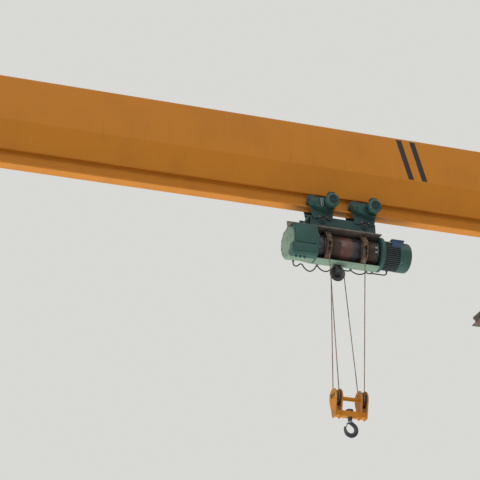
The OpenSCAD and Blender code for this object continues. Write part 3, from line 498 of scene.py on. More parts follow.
def swept(bm, points, radius, lobes=0, lay=0.0, radii=None, section=8):
    """A bar swept along a line of points: round, or stranded like a rope where lobes are given."""
    line = bpy.data.curves.new("line", "CURVE")
    line.dimensions, line.use_fill_caps, line.twist_mode = "3D", True, "MINIMUM"
    spline = line.splines.new("POLY")
    spline.points.add(len(points) - 1)
    run = 0.0
    for i, point in enumerate(points):
        run += (points[i] - points[i - 1]).length if i else 0
        spline.points[i].co = (*point, 1)
        spline.points[i].tilt = 2 * math.pi * run / lay if lay else 0
        spline.points[i].radius = radii[i] if radii else 1
    outline = bpy.data.curves.new("outline", "CURVE")
    outline.dimensions = "2D"
    edge = outline.splines.new("POLY")
    count = 2 * lobes or section
    edge.points.add(count - 1)
    edge.use_cyclic_u = True
    for i in range(count):
        # The hollow between two strands lies at 0.8 of the rope's radius
        reach = radius * (0.8 if lobes and i % 2 else 1)
        a = 2 * math.pi * i / count
        edge.points[i].co = (reach * math.cos(a), reach * math.sin(a), 0, 1)
    outer = bpy.data.objects.new("outline", outline)
    line.bevel_mode, line.bevel_object = "OBJECT", outer
    holder = bpy.data.objects.new("line", line)
    for thing in (outer, holder):
        bpy.context.scene.collection.objects.link(thing)
    graph = bpy.context.evaluated_depsgraph_get()
    mesh = bpy.data.meshes.new_from_object(holder.evaluated_get(graph))
    bm.from_mesh(mesh)
    bpy.data.meshes.remove(mesh)
    for thing, data in ((holder, line), (outer, outline)):
        bpy.data.objects.remove(thing)
        bpy.data.curves.remove(data)


# Pieces

def piece(name, bm, finish, body, sharp=35, loose=True):
    """Makes a bmesh a finished piece that rides on a body. A loose mesh has its doubles merged and
    its faces turned outwards first; a CAD node's copy comes merged and the right way round."""
    if loose:
        bmesh.ops.remove_doubles(bm, verts=bm.verts, dist=1e-6)
        bmesh.ops.recalc_face_normals(bm, faces=bm.faces)
    mesh = bpy.data.meshes.new(name)
    bm.to_mesh(mesh)
    bm.free()
    mesh.polygons.foreach_set("use_smooth", [True] * len(mesh.polygons))
    mesh.set_sharp_from_angle(angle=math.radians(sharp))
    mesh.materials.append(MATERIALS[finish])
    thing = bpy.data.objects.new(name, mesh)
    bpy.context.scene.collection.objects.link(thing)
    if body:
        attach(thing, body)
    return thing


def merged_copy(node):
    """A copy of a CAD node's mesh, its triangles merged and its flat faces made whole."""
    bm = bmesh.new()
    bm.from_mesh(NODES[node].data)
    bmesh.ops.remove_doubles(bm, verts=bm.verts, dist=2e-6)
    bmesh.ops.dissolve_limit(bm, angle_limit=math.radians(0.6), verts=bm.verts, edges=bm.edges,
                             use_dissolve_boundaries=False)
    return bm


def dress(nodes, finish, round_mm=None, sharp=35):
    """Stands a smoothly shaded copy with rounded edges in for each CAD node."""
    width = bpy.context.scene.crane_sizes.bevel if round_mm is None else round_mm / 1000
    for node in nodes:
        body = NODES[node]["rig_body"]
        copy = piece(node + "_dressed", merged_copy(node), finish, body, sharp, False)
        if width:
            edge = copy.modifiers.new("edges", "BEVEL")
            edge.width, edge.segments, edge.limit_method = width, 2, "ANGLE"
            edge.angle_limit, edge.harden_normals = math.radians(sharp), True
        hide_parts(node)


# The camera was fitted to the girder's edges and the hoist in the photo: its place in metres, its
# yaw from the runway's direction, its pitch and roll in degrees, and its lens for a 36 mm sensor
CAMERA_PLACE = (7.513, -16.736, -9.514)
CAMERA_TURN = (20.09, 26.12, -1.27)
CAMERA_LENS = 137.55
# Each lamp's name, the way its light goes, its strength and its spread in degrees
LAMPS = (("front_lamp", (0.30, 0.82, -0.42), 0.97, 30),
         ("under_lamp", (0.15, -0.35, 0.93), 2.6, 35),
         ("side_lamp", (1.0, 0.15, 0.10), 1.2, 30),
         ("top_lamp", (-0.2, 0.3, -1.0), 0.8, 60))


# Steps

class SetStage(bpy.types.Operator):
    """Sets the floor, the lamps, the world and the camera"""
    bl_idname = "crane.set_stage"
    bl_label = "Set the stage"

    def execute(self, context):
        scene = context.scene
        scene.view_settings.view_transform = "Standard"
        self.lay_floor(scene)
        self.hang_lamps(scene)
        self.set_world(scene)
        self.place_camera(scene)
        make_materials(scene)
        return {"FINISHED"}

    def lay_floor(self, scene):
        """A floor far larger than any view, under the hook's lowest reach"""
        bm = bmesh.new()
        bmesh.ops.create_grid(bm, x_segments=1, y_segments=1, size=600, matrix=Matrix.Translation(
            (SPAN / 2, 0, -scene.crane_sizes.floor_depth)))
        mesh = bpy.data.meshes.new("floor")
        bm.to_mesh(mesh)
        bm.free()
        floor = bpy.data.objects.new("floor", mesh)
        # The crane hangs over the floor, so lamps and views from below go through it
        floor.visible_shadow = False
        material, tree = empty_material("matt_floor")
        matt = add(tree, "BsdfDiffuse", {"Color": rgba(scene.crane_colours.floor)})
        clear = add(tree, "BsdfTransparent")
        below = add(tree, "NewGeometry", out="Backfacing")
        mixed = add(tree, "MixShader", {0: below, 1: matt, 2: clear})
        add(tree, "OutputMaterial", {"Surface": mixed})
        mesh.materials.append(material)
        scene.collection.objects.link(floor)

    def hang_lamps(self, scene):
        """Soft suns, as a hall's roof and open ends give them"""
        for name, towards, power, spread in LAMPS:
            lamp = bpy.data.lights.new(name, "SUN")
            lamp.energy, lamp.angle = power, math.radians(spread)
            holder = bpy.data.objects.new(name, lamp)
            holder.rotation_euler = Vector(towards).to_track_quat("-Z", "Y").to_euler()
            scene.collection.objects.link(holder)

    def set_world(self, scene):
        """A weak even light, and a pale backdrop for the camera, metal and glass"""
        world = bpy.data.worlds.new("pale_room")
        world.use_nodes = True
        tree = world.node_tree
        tree.nodes.clear()
        rays = add(tree, "LightPath").node.outputs
        seen = rays["Is Camera Ray"]
        for ray in ("Is Glossy Ray", "Is Transmission Ray"):
            seen = add(tree, "Math", {0: seen, 1: rays[ray]}, operation="MAXIMUM")
        light = add(tree, "Background", {"Color": (1, 1, 1, 1), "Strength": 0.30})
        pale = rgba(scene.crane_colours.backdrop)
        shown = add(tree, "Background", {"Color": pale, "Strength": 1.0})
        mixed = add(tree, "MixShader", {0: seen, 1: light, 2: shown})
        add(tree, "OutputWorld", {"Surface": mixed})
        scene.world = world

    def place_camera(self, scene):
        """Looks up at the hoist from below and in front, as the photo does"""
        yaw, pitch, roll = (math.radians(a) for a in CAMERA_TURN)
        view = Vector((math.sin(yaw) * math.cos(pitch), math.cos(yaw) * math.cos(pitch),
                       math.sin(pitch)))
        level = Vector((math.cos(yaw), -math.sin(yaw), 0))
        upright = level.cross(view)
        right = math.cos(roll) * level + math.sin(roll) * upright
        up = -math.sin(roll) * level + math.cos(roll) * upright
        camera = bpy.data.cameras.new("photo_camera")
        camera.lens, camera.sensor_width, camera.clip_end = CAMERA_LENS, 36, 200
        holder = bpy.data.objects.new("photo_camera", camera)
        turn = Matrix((right, up, -view)).transposed().to_4x4()
        holder.matrix_world = Matrix.Translation(CAMERA_PLACE) @ turn
        scene.collection.objects.link(holder)
        scene.camera = holder


class ReeveRope(bpy.types.Operator):
    """Reeves one continuous wire rope from the drum over the sheaves and back to the drum"""
    bl_idname = "crane.reeve_rope"
    bl_label = "Reeve the rope"

    def execute(self, context):
        sizes = context.scene.crane_sizes
        reach = sizes.sheave_radius
        # Falls from the drum hang in front, and falls from the fixed sheave behind
        front, back = -sizes.drum_pitch_radius, EQ.y
        # Heights at which the falls leave the guides' slots and come into the block's cheeks
        leave, lead = DRUM.z - 0.060, BLOCK.z + 0.062
        # Distance between two points of the route
        gap = 0.003

        def fall(x, block_x, sheave_x):
            """One end of the rope: from the drum, round the block and up to the fixed sheave"""
            middle_y = (front + back) / 2
            low = Vector((block_x, front, BLOCK.z))
            corners = (Vector((x, front, DRUM.z)), Vector((x, front, leave)),
                       Vector((block_x, front, lead)), low)
            points = [p for a, b in zip(corners, corners[1:]) for p in straight(a, b, gap)]
            points += bend(Vector((block_x, middle_y, BLOCK.z)), low, X, math.pi, gap)
            corners = (Vector((block_x, back, BLOCK.z)), Vector((block_x, back, lead)),
                       Vector((sheave_x, back, EQ.z)))
            return points + [p for a, b in zip(corners, corners[1:]) for p in straight(a, b, gap)]

        route = fall(GUIDES_X[0], BLOCKS_X[0], EQ.x - reach)
        route += bend(EQ, Vector((EQ.x - reach, back, EQ.z)), Y, math.pi, gap)
        route.append(Vector((EQ.x + reach, back, EQ.z)))
        route += fall(GUIDES_X[1], BLOCKS_X[1], EQ.x + reach)[::-1]
        whole = bmesh.new()
        swept(whole, route, sizes.rope_radius, 6, sizes.rope_lay)
        over = DRUM.z + 1
        self.cut(whole, "rope_at_guides", (leave, over), True, "trolley", "hoist_ropes")
        self.cut(whole, "rope_over_sheave", (EQ.z, over), False, "trolley", "sheave_rope")
        self.cut(whole, "rope_in_block", (BLOCK.z - 1, lead), None, "hook_block", "block_ropes")
        self.stretch(whole, "outer_fall", leave, lead, True, "hoist_ropes")
        self.stretch(whole, "inner_fall", EQ.z, lead, False, "inner_ropes")
        whole.free()
        return {"FINISHED"}

    def cut(self, whole, name, heights, outer, body, node):
        """Takes the rope between two heights: its outer falls, its inner ones or both for None"""
        bm = whole.copy()
        planes = [(Z * heights[1], Z), (Z * heights[0], -Z)]
        if outer is not None:
            # The outer falls hang 60 mm or more in front of the hoist's middle
            planes.append((Y * -0.06, Y if outer else -Y))
        for place, away in planes:
            bmesh.ops.bisect_plane(bm, geom=bm.verts[:] + bm.edges[:] + bm.faces[:], plane_co=place,
                                   plane_no=away, clear_outer=True)
        bmesh.ops.holes_fill(bm, edges=[e for e in bm.edges if e.is_boundary], sides=0)
        part = piece(name, bm, "rope", body, 80)
        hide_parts(node)
        return part

    def stretch(self, whole, name, top, low, outer, node):
        """A fall stays straight while it stretches if each of its parts takes a share that grows
        evenly, so the fall is cut into parts between these shares of its length, each with its
        place baked into its mesh"""
        shares = (0, 0.04, 0.2, 0.8, 0.96, 1)
        for i, (a, b) in enumerate(zip(shares, shares[1:])):
            heights = (top + (low - top) * b, top + (low - top) * a)
            part = self.cut(whole, f"{name}_{i + 1}", heights, outer, None, node)
            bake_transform(part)


class WindDrum(bpy.types.Operator):
    """Winds the rope on both halves of the drum and clamps its ends"""
    bl_idname = "crane.wind_drum"
    bl_label = "Wind the drum"

    def execute(self, context):
        sizes = context.scene.crane_sizes
        radius, pitch = sizes.drum_pitch_radius, sizes.rope_pitch
        for side, x in enumerate(GUIDES_X):
            route = []
            # The rope stays in its groove over the front and steps to the next one at the back,
            # over 60 degrees. It starts a quarter turn behind the fall, under the guide, so that
            # the fall runs clear of it when the drum has turned for the lowest hook
            for angle in range(96, sizes.turns * 360 + 2, 2):
                turn, rest = divmod(angle, 360)
                step = min(1, max(0, (rest - 150) / 60))
                across = x + (turn + step * step * (3 - 2 * step)) * pitch
                a = math.radians(angle)
                route.append(Vector((across, -radius * math.cos(a), DRUM.z + radius * math.sin(a))))
            bm = bmesh.new()
            swept(bm, route, sizes.rope_radius, 6, sizes.rope_lay)
            piece(f"wound_rope_{side + 1}", bm, "wound", "drum", 80)
            finish = ("iron", "zinc")[side]
            self.clamp_end(side + 1, x + sizes.turns * pitch, radius, (-16, 4), finish)
        self.clamp_end(3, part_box("drum")[0].x + 0.036, radius - 0.0045, (-25,), "zinc")
        return {"FINISHED"}

    def clamp_end(self, number, x, radius, angles, finish):
        """Small plates, each under one screw, press the rope's end or hold a balance weight"""
        bm = bmesh.new()
        for angle in angles:
            a = math.radians(angle)
            out = Vector((0, -math.cos(a), math.sin(a)))
            along = out.cross(X)
            seat = Vector((x - 0.006, 0, DRUM.z)) + out * (radius - 0.002)
            corners = [seat + X * dx + along * dy for dx, dy in
                       ((-0.014, -0.012), (0.016, -0.012), (0.016, 0.012), (-0.014, 0.012))]
            thick = out * 0.0095
            plate(bm, corners, thick, 1.5)
            rod(bm, seat + thick, out, 0.0045, 0.0022, 6)
        piece(f"rope_clamps_{number}", bm, finish, "drum")


# The cable's route under the hoist, as in the CAD source: x from the hoist's middle, z from the
# level of its ties, which lie this far under the drum's axis
CABLE_DROP = 0.1930
TIES_X = (-0.425, -0.240, -0.055, 0.055, 0.160, 0.345, 0.415)
TIE_SAGS = (0.075, 0.052, 0.010, 0.010, 0.032, 0.005)
CABLE_START = ((-0.520, 0.014), (-0.520, -0.008), (-0.511, -0.026), (-0.490, -0.034),
               (-0.465, -0.024), (-0.445, -0.006))
CABLE_END = ((0.415, 0), (0.455, 0), (0.520, 0), (0.560, 0.001), (0.585, 0.012), (0.595, 0.032),
             (0.595, 0.042))


class HangCable(bpy.types.Operator):
    """Hangs the cable that links the switch box and the motor in loops under the hoist"""
    bl_idname = "crane.hang_cable"
    bl_label = "Hang the cable"

    def execute(self, context):
        sizes = context.scene.crane_sizes
        y = middle("hoist_cable").y
        flat = list(CABLE_START)
        for start, end, sag in zip(TIES_X, TIES_X[1:], TIE_SAGS):
            for k in range(6):
                flat.append((start + (end - start) * k / 6, -sag * math.sin(math.pi * k / 6)))
        flat += CABLE_END
        route = [Vector((HOIST_X + x, y, DRUM.z - CABLE_DROP + z)) for x, z in flat]
        line = bpy.data.curves.new("hoist_cable_loops", "CURVE")
        line.dimensions, line.bevel_depth, line.bevel_resolution = "3D", sizes.cable_radius, 4
        line.use_fill_caps, line.resolution_u = True, 5
        spline = line.splines.new("BEZIER")
        spline.bezier_points.add(len(route) - 1)
        for point, place in zip(spline.bezier_points, route):
            point.co = place
            point.handle_left_type = point.handle_right_type = "AUTO"
        cable = bpy.data.objects.new("hoist_cable_loops", line)
        context.scene.collection.objects.link(cable)
        line.materials.append(MATERIALS["cable"])
        context.view_layer.update()
        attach(cable, "trolley")
        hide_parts("hoist_cable")
        return {"FINISHED"}


class DressBridge(bpy.types.Operator):
    """Paints the runway and the bridge, with rounded edges and smooth curves"""
    bl_idname = "crane.dress_bridge"
    bl_label = "Dress the bridge"

    def execute(self, context):
        dress(("girder_box",), "girder", 3)
        dress(("girder_beam", "girder_end_plates", "left_truck", "right_truck"), "bridge")
        dress(("axle_caps",), "bridge", 1)
        dress(("trolley_stops",), "stop", 2)
        dress(("left_rail", "right_rail"), "rail", 1, 50)
        dress(("left_front_wheel", "left_rear_wheel"), "steel", 1)
        dress(("right_front_wheel", "right_rear_wheel"), "steel", 1)
        dress(("truck_axles",), "steel", 1)
        dress(("drive_gearboxes",), "hoist", 3)
        dress(("drive_motors",), "blue", 0.8)
        dress(("buffers",), "rubber", 0, 50)
        return {"FINISHED"}


class DressTrolley(bpy.types.Operator):
    """Paints the trolley, the hoist and the hook block, with rounded edges and smooth curves"""
    bl_idname = "crane.dress_trolley"
    bl_label = "Dress the trolley"

    def execute(self, context):
        dress(("trolley_side_plates", "balance_beam", "hoist_lugs"), "frame")
        dress(("travel_gearboxes",), "hoist", 3)
        dress(("travel_motors",), "hoist", 0.8)
        dress(("roller_axles", "balance_pins", "sheave_bracket"), "iron", 1)
        dress(("rollers_1", "rollers_2", "rollers_3", "rollers_4"), "iron", 1)
        dress(("hoist_plate",), "plate", 2)
        dress(("hoist_shell", "gearbox"), "shell", 1.5)
        dress(("hoist_rings", "switch_box", "motor_cowl"), "hoist", 2)
        dress(("hoist_motor",), "ribs", 0.6)
        dress(("terminal_box",), "blue", 2)
        dress(("rope_guides",), "bronze", 1.5)
        dress(("cable_clips",), "zinc", 0.5)
        dress(("drum",), "drum", 0.4, 50)
        dress(("equalising_sheave", "block_sheaves"), "iron", 0.8)
        dress(("block_frame",), "bridge", 2)
        self.smooth_hook()
        dress(("hook_latch",), "zinc", 0.5)
        return {"FINISHED"}

    def smooth_hook(self):
        """The forged hook has no flats: its rings are subdivided and its turned rims are kept"""
        bm = merged_copy("hook")
        bmesh.ops.join_triangles(bm, faces=bm.faces, angle_face_threshold=math.radians(30),
                                 angle_shape_threshold=math.radians(60))
        crease = bm.edges.layers.float.new("crease_edge")
        for edge in bm.edges:
            if len(edge.link_faces) == 2 and edge.calc_face_angle(0) > math.radians(55):
                edge[crease] = 1
        hook = piece("hook_dressed", bm, "iron", "hook", 55, False)
        curved = hook.modifiers.new("curved", "SUBSURF")
        curved.levels = curved.render_levels = 2
        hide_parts("hook")


class BoltBridge(bpy.types.Operator):
    """Bolts the end plates, the axle caps, the buffers and the rails"""
    bl_idname = "crane.bolt_bridge"
    bl_label = "Bolt the bridge"

    def execute(self, context):
        self.end_plates()
        self.axle_caps()
        self.buffers()
        self.rail_clips()
        return {"FINISHED"}

    def end_plates(self):
        """Two groups of three M16 bolts on each side of each end plate"""
        bm = bmesh.new()
        for x, s in TRUCKS:
            for y in (-0.200, 0.200):
                for z in (0.254, 0.304, 0.354, 0.444, 0.494, 0.544):
                    bolt(bm, (x + s * BOX_LOW.x, y, z), (s, 0, 0), 0.024)
        piece("end_plate_bolts", bm, "zinc", "bridge")

    def axle_caps(self):
        """Six screws round each cap and a grease nipple in its middle"""
        bm = bmesh.new()
        # Distance of the caps' faces from the truck's middle
        seat = 0.138
        for x, s in TRUCKS:
            for y, out in ((-AXLE_Y, -s), (AXLE_Y, -s), (-AXLE_Y, s)):
                for place in around(6, 0.061, (x + out * seat, y, AXLE_Z), (out, 0, 0), 0.26):
                    bolt(bm, place, (out, 0, 0), 0.011, washer=False)
                rod(bm, (x + out * (seat + 0.018), y, AXLE_Z), (out, 0, 0), 0.007, 0.008, 8)
        piece("axle_cap_bolts", bm, "zinc", "bridge")

    def buffers(self):
        """Four screws through the foot of each buffer"""
        bm = bmesh.new()
        z = (TRUCK_LOW.z + TRUCK_HIGH.z) / 2
        for x, _ in TRUCKS:
            for s in (-1, 1):
                foot = (x, s * (TRUCK_HIGH.y + 0.010), z)
                for place in around(4, 0.0705, foot, Y * s, math.pi / 4):
                    bolt(bm, place, Y * s, 0.011, washer=False)
        piece("buffer_bolts", bm, "zinc", "bridge")

    def rail_clips(self):
        """Pairs of clips about 0.55 m apart, each bolted over the rail's foot on a packing"""
        clips, bolts = bmesh.new(), bmesh.new()
        foot = RAIL_HIGH.x
        for x, _ in TRUCKS:
            for y in steps(RAIL_LOW.y + 0.25, RAIL_HIGH.y - 0.25, 0.55):
                for s in (-1, 1):
                    outer = (x + s * (foot + 0.034), y + 0.030)
                    slab(clips, (x + s * (foot - 0.020), y - 0.030, 0.014), (*outer, 0.026), 2)
                    slab(clips, (x + s * (foot + 0.001), y - 0.030, 0.0), (*outer, 0.015), 1)
                    bolt(bolts, (x + s * (foot + 0.016), y, 0.026), Z, 0.022)
        piece("rail_clips", clips, "iron", "runway")
        piece("rail_clip_bolts", bolts, "zinc", "runway")


class FitTrucks(bpy.types.Operator):
    """Adds the trucks' covers, stiffeners and welds, and the drives' flanges, fans and boxes"""
    bl_idname = "crane.fit_trucks"
    bl_label = "Fit the trucks"

    def execute(self, context):
        self.covers()
        self.welds()
        self.drives()
        return {"FINISHED"}

    def covers(self):
        """Covers over the wheels, lifting lugs and upright stiffeners"""
        plates, bolts = bmesh.new(), bmesh.new()
        top, half = TRUCK_HIGH.z, 0.110
        thick = 0.006
        for x, _ in TRUCKS:
            for y in (-AXLE_Y, AXLE_Y):
                slab(plates, (x - 0.085, y - 0.150, top), (x + 0.085, y + 0.150, top + thick), 1.5)
                for dx in (-0.070, 0.070):
                    for dy in (-0.130, 0, 0.130):
                        bolt(bolts, (x + dx, y + dy, top + thick), Z, 0.013, washer=False)
            for y in (-0.62, 0.62):
                plate(plates, [Vector((x - 0.008, y + dy, top + dz)) for dy, dz in
                               ((-0.06, 0), (0.06, 0), (0.03, 0.055), (-0.03, 0.055))], X * 0.016)
            for y in steps(-0.9, 0.9, 0.45):
                # The girder's end stands before the middle ones
                if abs(y) > 0.25:
                    for side in (-1, 1):
                        slab(plates, (x + side * half, y - 0.004, TRUCK_LOW.z + 0.012),
                             (x + side * (half + 0.010), y + 0.004, top - 0.012), 1)
        piece("truck_covers", plates, "bridge", "bridge")
        piece("truck_cover_bolts", bolts, "zinc", "bridge")

    def welds(self):
        """Fillet welds up the girder's ends and between its box and beam"""
        rng = random.Random(5)
        bm = bmesh.new()
        lines = []
        for side in (-1, 1):
            foot = (side * BEAM_HIGH.y, BEAM_HIGH.z)
            lines.append(((BEAM_LOW.x, *foot), (BEAM_HIGH.x, *foot)))
            for x, s in TRUCKS:
                corner = (x + s * BOX_LOW.x, side * BOX_HIGH.y)
                lines.append(((*corner, TRUCK_LOW.z + 0.010), (*corner, BOX_HIGH.z - 0.030)))
        for a, b in lines:
            points = straight(Vector(a), Vector(b), 0.030) + [Vector(b)]
            # The bead's width wanders by 15 %
            radii = [rng.uniform(0.85, 1.15) for _ in points]
            swept(bm, points, 0.0045, radii=radii, section=6)
        piece("fillet_welds", bm, "bridge", "bridge", 80)

    def drives(self):
        """Cover and plug of each gearbox, and bolts, fan grille, box and gland of each motor"""
        covers, bolts, grilles, boxes = (bmesh.new() for _ in range(4))
        # The motors' axis lies 78 mm under their tops
        axis_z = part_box("drive_motors")[1].z - 0.078
        # Faces of the gearbox, the motor's flange and its cowl, inwards from the truck's middle
        gearbox_face, flange_face, cowl_face = 0.234, 0.250, 0.484
        for x, s in TRUCKS:
            out = Vector((s, 0, 0))

            def at(across, y=0.0, z=axis_z):
                """A place this far inwards from the truck's middle and from the wheel's axis"""
                return Vector((x + s * across, AXLE_Y + y, z))

            for spot in around(5, 0.083, at(gearbox_face, z=AXLE_Z), out, math.pi / 2 + 0.9):
                bolt(bolts, spot, out, 0.013)
            outline = ((0.0, 0.018), (0.030, 0.018), (0.034, 0.014), (0.052, 0.012), (0.052, 0.0))
            turned(covers, at(gearbox_face, z=AXLE_Z), out, outline, 32)
            rod(covers, at(0.182, 0.090, AXLE_Z - 0.010), Y, 0.012, 0.010, 6)
            for spot in around(4, 0.070, at(flange_face), out, math.pi / 4):
                bolt(bolts, spot, out, 0.013, washer=False)
            face = at(cowl_face)
            for radius in (0.018, 0.030, 0.042, 0.054):
                hoop(grilles, face, out, radius, 0.0022, 32)
            for spot in around(6, 0.036, face, out):
                rod(grilles, face.lerp(spot, 0.3), spot - face, 0.0018, 0.046, 6)
            slab(boxes, at(0.300, -0.045, axis_z + 0.060), at(0.400, 0.045, axis_z + 0.112), 4, 3)
            slab(boxes, at(0.296, -0.049, axis_z + 0.112), at(0.404, 0.049, axis_z + 0.121), 3)
            rod(covers, at(0.350, -0.045, axis_z + 0.085), -Y, 0.013, 0.024, 6, 1)
        piece("drive_end_covers", covers, "hoist", "bridge")
        piece("drive_bolts", bolts, "zinc", "bridge")
        piece("drive_fan_grilles", grilles, "iron", "bridge")
        piece("drive_terminal_boxes", boxes, "blue", "bridge")


class FitTrolley(bpy.types.Operator):
    """Adds the trolley's nuts, keeper plates, motor fins, grilles and boxes"""
    bl_idname = "crane.fit_trolley"
    bl_label = "Fit the trolley"

    def execute(self, context):
        self.axle_nuts()
        self.pin_keepers()
        self.motors()
        self.case_bolts()
        self.plate_bolts()
        return {"FINISHED"}

    def axle_nuts(self):
        """A washer, nut and stud end behind each roller"""
        bm = bmesh.new()
        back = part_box("roller_axles")[1].y
        for i in range(1, 5):
            wheel = middle(f"rollers_{i}")
            for lift, radius, length, sides, round_mm in (
                    (0, 0.024, 0.004, 24, 0.8), (0.004, 0.0205, 0.015, 6, 1),
                    (0.019, 0.0115, 0.006, 16, 1.5)):
                rod(bm, (wheel.x, back + lift, wheel.z), Y, radius, length, sides, round_mm)
        piece("axle_nuts", bm, "zinc", "trolley")

    def pin_keepers(self):
        """A bolted keeper plate in a slot of each balance pin's end"""
        plates, bolts = bmesh.new(), bmesh.new()
        z = (PINS_LOW.z + PINS_HIGH.z) / 2
        for x in UNITS_X:
            for y, s in ((PINS_LOW.y, -1), (PINS_HIGH.y, 1)):
                rod(plates, (x, y, z), Y * s, 0.020, 0.005, 32, 1.5)
                slab(plates, (x - 0.052, y, z + 0.017), (x + 0.052, y - s * 0.008, z + 0.040), 1)
                for dx in (-0.040, 0.040):
                    bolt(bolts, (x + dx, y, z + 0.0285), Y * s, 0.013, washer=False)
        piece("pin_keepers", plates, "iron", "trolley")
        piece("pin_keeper_bolts", bolts, "zinc", "trolley")

    def motors(self):
        """Fins, fan grille, a near-black disc of painted shade behind it and a terminal box on each
        travel motor
        """
        fins, shades, boxes = bmesh.new(), bmesh.new(), bmesh.new()
        low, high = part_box("travel_motors")
        radius = (high.z - low.z) / 2
        length = high.y - low.y
        for x in (low.x + radius, high.x - radius):
            axis = Vector((x, high.y, (low.z + high.z) / 2))
            for i in range(22):
                a = 2 * math.pi * i / 22
                out = Vector((math.cos(a), 0, math.sin(a)))
                half = out.cross(Y) * 0.0016
                root = axis - Y * 0.014 + out * (radius - 0.017) - half
                run, rise = -Y * (length - 0.085), out * 0.015
                plate(fins, [root, root + run, root + run + rise, root + rise], half * 2, 0)
            face = axis - Y * (length - 0.007)
            # A thin near-black disc under the grille is painted shade, for the shade inside the
            # cowl
            rod(shades, face, -Y, radius - 0.031, 0.001, 32)
            guard = face - Y * 0.003
            for ring in (0.010, 0.020, 0.030, 0.040):
                hoop(fins, guard, Y, ring, 0.0018, 32)
            for spot in around(6, 0.025, guard, Y):
                rod(fins, guard, spot - guard, 0.0018, radius - 0.030, 6)
            top = axis + Z * (radius - 0.012) - Y * 0.074
            half, lid = Vector((0.034, 0.032, 0)), Vector((0.037, 0.035, 0))
            slab(boxes, top - half - Z * 0.004, top + half + Z * 0.034, 4, 3)
            slab(boxes, top - lid + Z * 0.034, top + lid + Z * 0.042, 3)
        piece("travel_motor_fins", fins, "hoist", "trolley")
        piece("travel_motor_shades", shades, "dark", "trolley")
        piece("travel_terminal_boxes", boxes, "hoist", "trolley")

    def case_bolts(self):
        """Screws round each gear case, an oil plug, and the left case's release handle"""
        bolts, handle = bmesh.new(), bmesh.new()
        low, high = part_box("travel_gearboxes")
        # The screws' face lies 56 mm before the cases' back
        face = high.y - 0.056
        # Height of the cases' shafts over the beam's foot
        shaft_z = BEAM_LOW.z + 0.036
        for x in UNITS_X:
            for dx, dz in ((-0.154, 0.0), (-0.111, -0.0387), (-0.054, -0.04472), (-0.111, 0.0387),
                           (-0.054, 0.04214)):
                bolt(bolts, (x + dx, face, shaft_z + dz), -Y, 0.010, washer=False)
            rod(bolts, (x - 0.112, low.y, shaft_z), -Y, 0.012, 0.008, 6, 1)
        # The left unit's case carries a pale release handle between the two shafts
        route = [Vector((UNITS_X[0] - 0.030 + x, face - depth, shaft_z + z)) for x, depth, z in (
            (-0.011, 0, 0.040), (-0.011, 0.016, 0.036), (-0.011, 0.020, -0.050), (0, 0.020, -0.062),
            (0.011, 0.020, -0.050), (0.011, 0.016, 0.036), (0.011, 0, 0.040))]
        swept(handle, route, 0.005, section=10)
        piece("gear_case_bolts", bolts, "hoist", "trolley")
        piece("release_handle", handle, "zinc", "trolley")

    def plate_bolts(self):
        """Two rows of bolts through the hoist's top plate"""
        bm = bmesh.new()
        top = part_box("hoist_plate")[1].z
        for x in steps(HOIST_X - 0.30, HOIST_X + 0.36, 0.110):
            for y in (-0.115, 0.115):
                bolt(bm, (x, y, top), Z, 0.018)
        piece("top_plate_bolts", bm, "zinc", "trolley")


